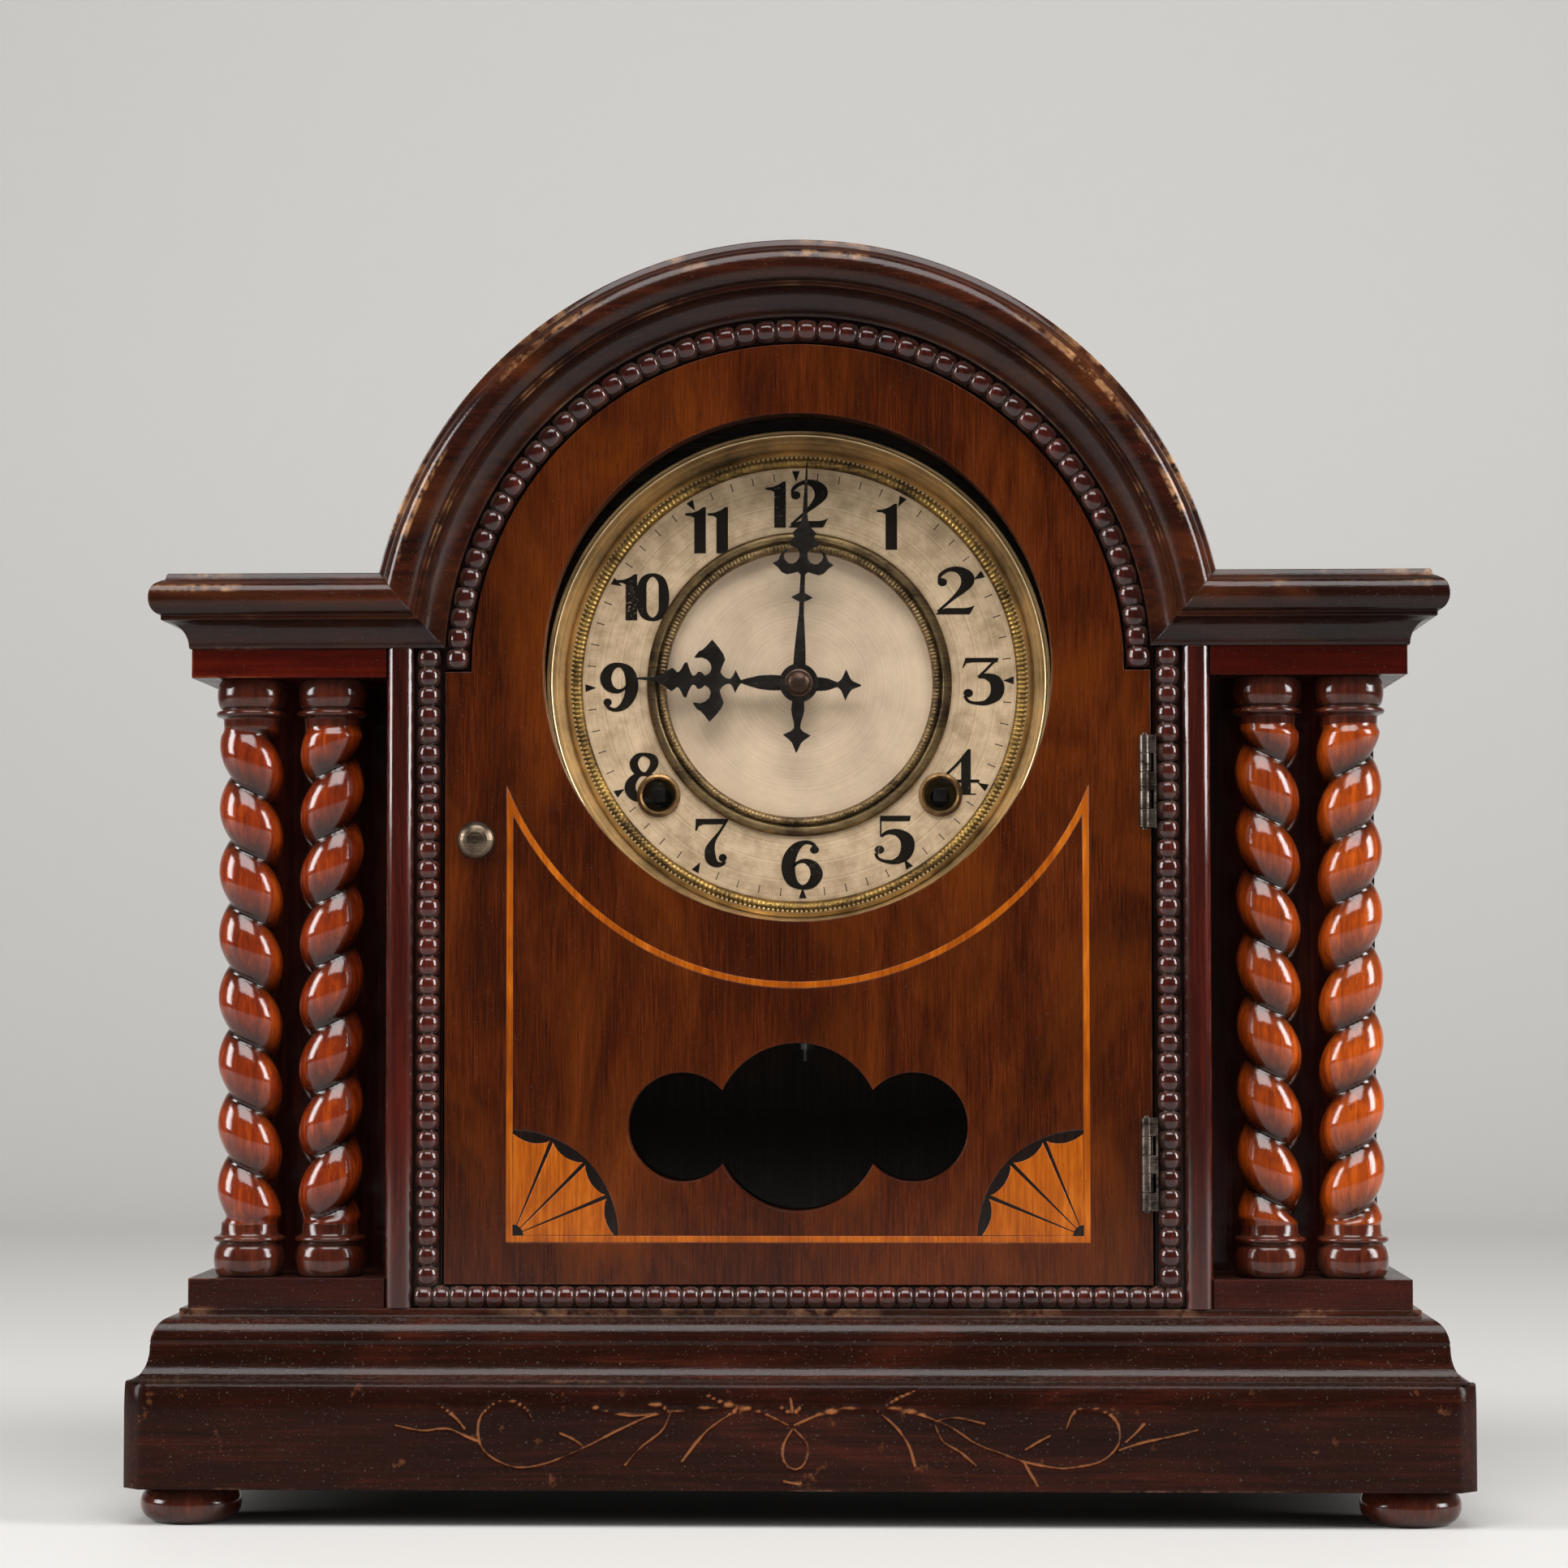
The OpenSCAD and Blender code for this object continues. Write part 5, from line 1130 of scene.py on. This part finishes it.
@dataclass
class BeadMouldings:
    """Rows of turned beads beside, under and round the door."""

    strip_x: float = 114.0
    strip_half: float = 3.8
    low: float = 71.7
    sill_z: float = 68.3
    arch_r: float = 105.2
    depth: float = -64.0
    bead_r: float = 3.7
    upright_n: int = 33
    sill_n: int = 43
    arch_n: int = 52
    neck_share: float = 0.55
    seed: int = 11

    def rows(self) -> list[tuple[str, list[list[Point]], int, float]]:
        """Where the beads stand.

        Returns:
            Name, paths, count and pitch of each row.
        """
        across = 2 * (self.strip_x + self.strip_half)
        pitch_up, pitch_along = (CORNICE_Z - self.low) / self.upright_n, across / self.sill_n
        uprights = [[(s * self.strip_x, self.depth, self.low + pitch_up / 2),
                     (s * self.strip_x, self.depth, CORNICE_Z - pitch_up / 2)] for s in (-1, 1)]
        below = [[(s * (across - pitch_along) / 2, self.depth, self.sill_z) for s in (-1, 1)]]
        step = math.pi / self.arch_n
        arch = [[(self.arch_r * math.cos(step * (i / 8 + 0.5)), self.depth,
                  SPRING_Z + self.arch_r * math.sin(step * (i / 8 + 0.5)))
                 for i in range(8 * (self.arch_n - 1) + 1)]]
        return [("upright_bead_rows", uprights, self.upright_n, pitch_up),
                ("lower_bead_row", below, self.sill_n, pitch_along),
                ("arch_bead_row", arch, self.arch_n, self.arch_r * step)]

    def build(self) -> None:
        """Makes the rows by rule and lays them on their backing strips."""
        tree = bead_tree()
        for name, path, count, pitch in self.rows():
            row = grown(name, tree, {
                "Count": count, "Radius": self.bead_r * MM, "Pitch": pitch * MM,
                "Neck": self.neck_share, "Seed": self.seed, "Material": BEAD_WOOD.material()}, path)
            node_name = "arch_bead_strip" if "arch" in name else "bead_strips"
            settle(row, "case", "dark_wood", node_name)
        flat = Form("bead_strip_backing")
        for s in (-1, 1):
            x0, x1 = s * self.strip_x - self.strip_half, s * self.strip_x + self.strip_half
            flat.slab([(x0, self.low), (x1, self.low), (x1, CORNICE_Z), (x0, CORNICE_Z)],
                      self.depth, FRAME_Y)
        edge = self.strip_x + self.strip_half
        flat.slab([(-edge, DECK_Z), (edge, DECK_Z), (edge, self.low), (-edge, self.low)],
                  self.depth, FRAME_Y)
        settle(flat.build(CASE_UPRIGHT), "case", "dark_wood", "bead_strips")
        bow = Form("arch_strip_backing")
        outer, inner = (arc((0, SPRING_Z), (self.arch_r + out,) * 2, 0, 180, 96)
                        for out in (self.strip_half, -self.strip_half))
        bow.loft([[(xo, self.depth, zo), (xo, FRAME_Y, zo), (xi, FRAME_Y, zi), (xi, self.depth, zi)]
                  for (xo, zo), (xi, zi) in zip(outer, inner)])
        settle(bow.build(CASE_UPRIGHT), "case", "dark_wood", "arch_bead_strip")


@dataclass
class Stiles:
    """Glossy rounded strips that cover the joints between the front and the wings."""

    near: float = 118.5
    far: float = 127.0
    front: float = -68.0

    def build(self) -> None:
        """Makes both strips, nearly flat in the middle and rounded well back at their edges."""
        form = Form("rounded_stile_strips")
        middle, half = (self.near + self.far) / 2, (self.far - self.near) / 2
        brow = [(0.0, 0.0), (1.1, 0.05), (1.9, 0.2), (2.5, 0.5), (3.6, 1.32), (4.0, 1.9), (4.2, 2.8)]
        for side in (-1, 1):
            ring = [(side * (middle - half), FRAME_Y)]
            ring += [(side * (middle - out), self.front + back) for out, back in reversed(brow)]
            ring += [(side * (middle + out), self.front + back) for out, back in brow[1:]]
            ring.append((side * (middle + half), FRAME_Y))
            form.plate(ring, DECK_Z, CORNICE_Z)
        settle(form.build(STILE_WOOD, 50.0), "case", "dark_wood", "stile_strips")


@dataclass
class DoorInlay:
    """Quarter fans in the lower corners: satinwood blades, black scallops and black joints."""

    apex_x: float = 87.6
    apex_z: float = 87.1
    radius: float = 32.5
    root: float = 3.4
    rim: float = 1.2
    sag: float = 2.3
    blades: int = 4
    joint: float = 0.5
    front: float = DOOR_Y - 0.02
    back: float = DOOR_Y + 0.8

    def spot(self, side: int, radius: float, degrees: float) -> Flat:
        """A point of the fan at a radius and angle from its apex, on the left (-1) or right."""
        a = math.radians(degrees)
        return (side * (self.apex_x - radius * math.cos(a)), self.apex_z + radius * math.sin(a))

    def scallop(self, side: int, index: int) -> list[Flat]:
        """The hollow outer edge of a blade.

        Args:
            side: -1 for the left corner, 1 for the right one.
            index: Number of the blade, the lowest being 0.

        Returns:
            Points from its lower joint to its upper one.
        """
        step = 90 / self.blades
        points = []
        for k in range(9):
            t = k / 8
            sag = self.sag * (1 - (2 * t - 1) ** 2)
            points.append(self.spot(side, self.radius - self.rim - sag, step * (index + t)))
        return points

    def build(self) -> None:
        """Makes the fans of both corners."""
        light, black = Form("corner_fan_blades"), Form("corner_fan_scallops")
        step = 90 / self.blades
        for side in (-1, 1):
            ground = [self.spot(side, 0.0, 0)] + [
                self.spot(side, self.radius, 90 * k / 24) for k in range(25)]
            black.slab(ground, DOOR_Y + 0.03, self.back)
            for i in range(self.blades):
                low, high = step * i, step * (i + 1)
                gap_low = self.joint if i else 0.15
                gap_high = self.joint if i < self.blades - 1 else 0.1
                root = [self.spot(side, self.root, low + 4 * gap_low),
                        self.spot(side, self.root, high - 4 * gap_high)]
                edge = self.scallop(side, i)
                edge[0] = self.spot(side, self.radius - self.rim - 0.1, low + 2.2 * gap_low)
                edge[-1] = self.spot(side, self.radius - self.rim - 0.1, high - 2.2 * gap_high)
                light.slab([root[0]] + edge + [root[1]], self.front, DOOR_Y + 0.5)
        settle(light.build(INLAY_WOOD), "door", "inlay_wood", "corner_fans")
        settle(black.build(SCORCHED), "door", "inlay_wood", "corner_fans")


# Numerals of a fat-faced dial alphabet, 100 units high. A pen line gives x, height and half
# width at each point and a loop is a closed one, a ball gives its middle and radius, and a
# plate is an outline.
DIGITS: dict[str, list[tuple[str, list[tuple[float, ...]]]]] = {
    "0": [("loop", [(38, 98, 3), (62, 84, 8), (68, 50, 11), (62, 16, 8), (38, 2, 3), (14, 16, 8),
                    (8, 50, 11), (14, 84, 8)])],
    "1": [("plate", [(21, 0), (46, 0), (46, 100), (40, 100), (30, 93), (16, 88), (2, 87), (2, 82),
                     (14, 81), (21, 77)])],
    "2": [("ball", [(17, 70, 9)]),
          ("pen", [(10, 72, 1.5), (14, 86, 3), (30, 97, 3.5), (48, 96, 6), (62, 84, 9.5),
                   (64, 70, 9.5), (55, 54, 6), (38, 36, 3), (20, 18, 2.2), (8, 6, 2)]),
          ("plate", [(3, 0), (68, 0), (78, 20), (70, 16), (60, 14), (24, 14), (14, 10)])],
    "3": [("plate", [(12, 100), (74, 100), (72, 90), (24, 90), (14, 88), (8, 78), (6, 78)]),
          ("pen", [(70, 97, 2), (52, 76, 2), (36, 58, 2.2)]),
          ("pen", [(36, 58, 2.2), (50, 60, 5), (66, 52, 9), (72, 36, 10), (68, 18, 9), (52, 4, 5),
                   (34, 2, 3), (18, 6, 2.5), (10, 18, 2.5)]), ("ball", [(17, 24, 9)])],
    "4": [("pen", [(62, 98, 2.5), (40, 68, 2.2), (6, 30, 2.2)]),
          ("plate", [(4, 26), (80, 26), (80, 33), (4, 33)]),
          ("plate", [(46, 3), (64, 3), (64, 98), (60, 98), (46, 80)]),
          ("plate", [(38, 0), (74, 0), (74, 3), (38, 3)])],
    "5": [("plate", [(16, 100), (74, 100), (72, 88), (18, 88)]),
          ("plate", [(16, 55), (19, 55), (19, 95), (16, 95)]),
          ("pen", [(18, 55, 2), (30, 64, 3.5), (48, 64, 6), (64, 52, 9.5), (68, 34, 10),
                   (62, 14, 8.5), (46, 2, 5), (28, 1.5, 3), (13, 8, 2.5), (8, 20, 2.5)]),
          ("ball", [(15, 27, 9)])],
    "6": [("pen", [(66, 84, 2.5), (58, 95, 3), (44, 98, 3.5), (28, 88, 7), (16, 66, 9.5),
                   (13, 40, 10), (20, 14, 8), (38, 1.5, 4), (56, 8, 7), (66, 28, 9), (60, 48, 7.5),
                   (44, 58, 4), (30, 54, 2.5), (22, 44, 2)]), ("ball", [(62, 82, 8.5)])],
    "7": [("plate", [(6, 100), (76, 100), (74, 96), (66, 88), (22, 88), (12, 84), (8, 74), (5, 74)]),
          ("pen", [(72, 97, 2.2), (58, 74, 2.2), (44, 54, 4), (36, 34, 8), (38, 14, 9), (48, 3, 6),
                   (60, 2, 3.5), (68, 8, 3)]), ("ball", [(63, 16, 8.5)])],
    "8": [("loop", [(38, 99, 3), (56, 92, 6), (60, 78, 7), (50, 62, 5), (38, 56, 3), (22, 64, 6.5),
                    (16, 80, 7), (24, 94, 5)]),
          ("loop", [(38, 57, 3), (60, 46, 6), (70, 28, 9.5), (60, 8, 7.5), (40, 1, 3.5),
                    (18, 8, 7.5), (8, 28, 9.5), (18, 48, 6.5)])]}
# How wide each numeral is drawn against the alphabet, and how far the next one stands.
STRETCH: dict[str, float] = {"0": 0.82, "1": 1.0, "7": 1.02, "8": 1.0, "9": 1.07}
USUAL_STRETCH = 1.15
GLYPH_WIDTH = 78.0
ONE_WIDTH = 48.0


@dataclass
class Dial:
    """Numerals, minute track, knurled bezels and what dresses the dial."""

    numeral_r: float = 56.8
    numeral_h: float = 14.6
    turn: float = 0.85
    weight: float = 1.28
    ink: float = 0.05
    lift: float = 0.003
    layer: int = 0
    mark_near: float = 64.0
    mark_far: float = 67.4
    mark_half: float = 1.25
    track_r: float = 65.6
    tick: Point = (2.6, 0.28, 0.06)
    knurl_cut: float = 0.42
    bands: tuple[tuple[str, Finish, float, float, float, int], ...] = (
        ("outer_bezel_knurling", KNURLED_BRASS, 70.7, 2.5, 2.3, 300),
        ("inner_bezel_knurling", TONED_BRASS, 43.35, 1.5, 2.3, 232))
    rim_r: float = 77.2
    rim_y: float = -51.6
    wire: float = 0.42

    def next_depth(self) -> float:
        """Front of the next stroke. Each lies a little over the last, so none share a plane."""
        self.layer += 1
        return DIAL_Y - self.ink - self.lift * (self.layer - 1)

    def pen(self, form: Form, line: Sequence[tuple[float, ...]], closed: bool,
            place: tuple[float, float, float, float]) -> None:
        """Lays one pen line of changing width on the dial.

        Args:
            form: The print so far.
            line: Points with x, height and half width, in hundredths of the numeral's height.
            closed: Whether the line is a loop.
            place: Left edge and foot of the numeral, and its scale across and up.
        """
        x0, z0, wide, scale = place
        dense = smooth_line(line, closed)
        depth = self.next_depth()
        rings = []
        for i, (x, z, thin) in enumerate(dense):
            half = thin * self.weight
            before = dense[i - 1] if closed or i else dense[0]
            after = dense[(i + 1) % len(dense)] if closed or i + 1 < len(dense) else dense[-1]
            dx, dz = after[0] - before[0], after[1] - before[1]
            size = math.hypot(dx, dz) or 1.0
            nx, nz = -dz / size * half, dx / size * half
            ends = [(x0 + (x + nx) * wide, z0 + (z + nz) * scale),
                    (x0 + (x - nx) * wide, z0 + (z - nz) * scale)]
            rings.append([(ends[0][0], depth, ends[0][1]), (ends[1][0], depth, ends[1][1]),
                          (ends[1][0], DIAL_Y, ends[1][1]), (ends[0][0], DIAL_Y, ends[0][1])])
        form.loft(rings, round_row=closed)

    def numeral(self, form: Form, text: str, hour: int) -> None:
        """Sets one upright numeral at its hour.

        Args:
            form: The print so far.
            text: The digits of the numeral.
            hour: Its hour, from 1 to 12.
        """
        scale = self.numeral_h / 100
        widths = [ONE_WIDTH if c == "1" else GLYPH_WIDTH * STRETCH.get(c, USUAL_STRETCH)
                  for c in text]
        angle = math.radians(30 * hour - self.turn)
        x0 = self.numeral_r * math.sin(angle) - sum(widths) * scale / 2
        z0 = DIAL_Z + self.numeral_r * math.cos(angle) - self.numeral_h / 2
        for c, width in zip(text, widths):
            shape, turned = (DIGITS["6"], True) if c == "9" else (DIGITS[c], False)
            wide = scale * STRETCH.get(c, USUAL_STRETCH)
            for kind, points in shape:
                if turned:
                    points = [(GLYPH_WIDTH - p[0], 100 - p[1]) + tuple(p[2:]) for p in points]
                if kind in ("pen", "loop"):
                    self.pen(form, points, kind == "loop", (x0, z0, wide, scale))
                    continue
                if kind == "ball":
                    x, z, r = points[0]
                    points = arc((x, z), (r, r), 0, 345, 23)
                form.slab([(x0 + p[0] * wide, z0 + p[1] * scale) for p in points],
                          self.next_depth(), DIAL_Y)
            x0 += width * scale

    def knurl(self, name: str, finish: Finish, centre_r: float, half: float, rise: float,
              ridges: int) -> None:
        """A half round band with fine ridges across it, as a knurling wheel leaves it.

        Args:
            name: Name of the piece.
            finish: What it is dressed in.
            centre_r: Radius of its middle.
            half: Half its width.
            rise: How far it stands off the dial.
            ridges: Number of ridges round it.
        """
        form, per_ridge = Form(name), 6
        rings = []
        for k in range(ridges * per_ridge):
            a = 2 * math.pi * k / (ridges * per_ridge)
            hollow = 0.5 - 0.5 * math.cos(2 * math.pi * k / per_ridge)
            ring = []
            for out, up in arc((0, 0), (1, 1), 0, 180, 10):
                cut = self.knurl_cut * hollow * up ** 0.4 if up > 0 else 0.0
                r = centre_r + out * (half - 0.5 * cut)
                ring.append((r * math.cos(a), DIAL_Y + 0.1 - up * (rise - cut),
                             DIAL_Z + r * math.sin(a)))
            rings.append(ring)
        form.loft(rings, round_row=True)
        settle(form.build(finish, 75.0), "case", "brass")

    def rim(self) -> None:
        """The thin rolled edge of the flared bezel."""
        form = Form("bezel_rolled_rim")
        wire = arc((self.rim_r, self.rim_y), (self.wire, self.wire), 0, 324, 9)
        form.loft([[(r * math.cos(a), y, DIAL_Z + r * math.sin(a)) for r, y in wire]
                   for a in (2 * math.pi * k / 200 for k in range(200))], round_row=True)
        settle(form.build(RIM_BRASS), "case", "brass")

    def build(self) -> None:
        """Prints the dial and knurls its bezels."""
        numerals = Form("hour_numerals")
        for hour in range(1, 13):
            self.numeral(numerals, str(hour), hour)
        for k in range(12):
            a = math.radians(30 * k - self.turn)
            marks = [(self.mark_near, 0.0), (self.mark_far, self.mark_half),
                     (self.mark_far, -self.mark_half)]
            outline = [(r * math.sin(a) + s * math.cos(a),
                        DIAL_Z + r * math.cos(a) - s * math.sin(a)) for r, s in marks]
            numerals.slab(outline, DIAL_Y - self.ink, DIAL_Y)
        settle(numerals.build(DIAL_INK), "case", "silvered")
        long, wide, high = self.tick
        ticks = grown("minute_track", tick_tree(), {
            "Ring Radius": self.track_r * MM, "Count": 60, "Long": long * MM, "Wide": wide * MM,
            "High": high * MM, "Turn": math.radians(self.turn),
            "Centre": (0, (DIAL_Y - 0.015) * MM, DIAL_Z * MM),
            "Material": FADED_INK.material()})
        settle(ticks, "case", "silvered")
        for band in self.bands:
            self.knurl(*band)
        self.rim()


@dataclass
class Dressing:
    """Finishes of the CAD nodes that stay as they are."""

    worn_by: dict[Finish, str] = field(default_factory=lambda: {
        CASE_DEEP: "base_side_boards arch_roof",
        CASE_WOOD: "base_deck",
        CASE_UPRIGHT: "wing_panels front_frame case_sides",
        INSIDE_WOOD: "base_floor inner_boards",
        SHADED_PLINTH_WOOD: "plinth_blocks",
        BLOCK_WOOD: "frieze_blocks",
        BACK_WOOD: "back_board",
        DOOR_WOOD: "door_panel",
        INLAY_WOOD: "door_stringing",
        GLASS: "dial_glass window_glass",
        HINGE_METAL: "hinge_door_leaves hinge_frame_leaves hinge_pins",
        KNOB_METAL: "latch_knob",
        SILVERED: "dial_plate",
        SILVERED_WORN: "chapter_ring",
        SPUN_BRASS: "dial_bezel",
        TONED_BRASS: "inner_bezel",
        COLLAR_METAL: "winding_collars",
        BLUED_STEEL: "hour_hand minute_hand",
        NUT_STEEL: "hand_nut",
        SHADED_ARBOR_STEEL: "time_winding_arbor strike_winding_arbor",
        MOVEMENT_STEEL: "pallets pendulum_rod mainsprings strike_hammer gong gong_block",
        MOVEMENT_BRASS: "movement_frame centre_wheel minute_wheel hour_wheel second_wheel "
                        "third_wheel escape_wheel pendulum_bob time_great_wheel "
                        "strike_great_wheel strike_second_wheel fly"})

    def build(self, nodes: dict[str, bpy.types.Object]) -> None:
        """Dresses each node that is still shown.

        Args:
            nodes: Name of each CAD node to its object.
        """
        finishes = {name: finish for finish, names in self.worn_by.items()
                    for name in names.split()}
        for name, piece in nodes.items():
            if piece.hide_render:
                continue
            finish = finishes[name]
            piece.data.materials.clear()
            piece.data.materials.append(finish.material())
            LOG.info("%s wears %s", name, finish.name)


@dataclass(frozen=True)
class StudioPaper(Finish):
    """Matt pale background paper."""

    colour: str = "#c3c1be"

    def shader(self, add: Adder, place: bpy.types.NodeSocket) -> bpy.types.NodeSocket:
        """An even matt surface."""
        return add("BsdfPrincipled", {"Base Color": self.colour, "Roughness": 0.65})


@dataclass
class Studio:
    """Floor, backdrop, soft lamps and the camera."""

    eye: Point = (35.464, -1321.241, 164.51)
    pitch: float = 2.791
    roll: float = 0.058
    yaw: float = 1.805
    focal_px: float = 5029.737
    frame_px: float = 1932.0
    lamps: tuple[tuple[str, Point, Point, Flat, float], ...] = (
        ("left_softbox", (-1.9, -0.62, 0.95), (0, 0, 0.2), (0.7, 1.4), 46.0),
        ("right_softbox", (1.9, -0.62, 0.95), (0, 0, 0.2), (0.7, 1.4), 52.0),
        ("top_softbox", (0.0, -0.85, 1.45), (0, 0, 0.15), (1.3, 0.8), 24.0),
        ("backdrop_wash", (0.0, 0.7, 2.0), (0, 2.1, 0.6), (2.4, 0.5), 6.0))

    def camera(self) -> None:
        """Sets the camera where the real one stood."""
        data = bpy.data.cameras.new("camera")
        data.sensor_width = 36.0
        data.lens = self.focal_px / self.frame_px * 36.0
        data.clip_end = 50.0
        eye = bpy.data.objects.new("camera", data)
        eye.location = [v * MM for v in self.eye]
        eye.rotation_euler = [math.radians(90 + self.pitch), math.radians(self.roll),
                              math.radians(self.yaw)]
        bpy.context.scene.collection.objects.link(eye)
        bpy.context.scene.camera = eye

    def lamp(self, name: str, spot: Point, target: Point, size: Flat, watts: float) -> None:
        """Adds a soft box.

        Args:
            name: Its name.
            spot: Where it stands, in metres.
            target: What it faces, in metres.
            size: Width and height in metres.
            watts: Its power.
        """
        data = bpy.data.lights.new(name, "AREA")
        data.shape = "RECTANGLE"
        data.size, data.size_y = size
        data.energy = watts
        lamp = bpy.data.objects.new(name, data)
        lamp.location = spot
        aim = np.array(target) - np.array(spot)
        lamp.rotation_euler = (math.atan2(math.hypot(aim[0], aim[1]), -aim[2]), 0.0,
                               math.atan2(aim[1], aim[0]) - math.pi / 2)
        bpy.context.scene.collection.objects.link(lamp)

    def floor(self) -> None:
        """A pale seamless sweep: floor and backdrop in one sheet."""
        profile = [(-4.0, 0.0)] + arc((1.4, 0.7), (0.7, 0.7), -90, 0, 16) + [(2.1, 5.0)]
        mesh = bpy.data.meshes.new("studio_sweep")
        points = [(x, y, z) for y, z in profile for x in (-6.0, 6.0)]
        mesh.from_pydata(points, [], [(2 * i, 2 * i + 1, 2 * i + 3, 2 * i + 2)
                                      for i in range(len(profile) - 1)])
        for face in mesh.polygons:
            face.use_smooth = True
        mesh.materials.append(StudioPaper("pale_studio_paper").material())
        sweep = bpy.data.objects.new("studio_sweep", mesh)
        bpy.context.scene.collection.objects.link(sweep)

    def world(self) -> None:
        """A dim even surround, so that dark shellac keeps its depth."""
        world = bpy.data.worlds.new("studio")
        world.use_nodes = True
        world.node_tree.nodes.clear()
        add = partial(node, world.node_tree)
        add("OutputWorld", add("Background", {"Color": "#f2f1ef", "Strength": 0.10}))
        bpy.context.scene.world = world

    def build(self) -> None:
        """Sets up the whole studio."""
        self.camera()
        self.floor()
        self.world()
        for lamp in self.lamps:
            self.lamp(*lamp)
        bpy.context.scene.view_settings.view_transform = "Standard"


def main() -> None:
    """Builds and dresses the clock and sets up its studio."""
    logging.basicConfig(level=logging.INFO, format="%(name)s: %(message)s")
    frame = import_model()
    Base().build()
    Columns().build()
    Cornice().build()
    BeadMouldings().build()
    Stiles().build()
    DoorInlay().build()
    Dial().build()
    Dressing().build(frame["nodes"])
    Studio().build()


if __name__ == "__main__":
    main()
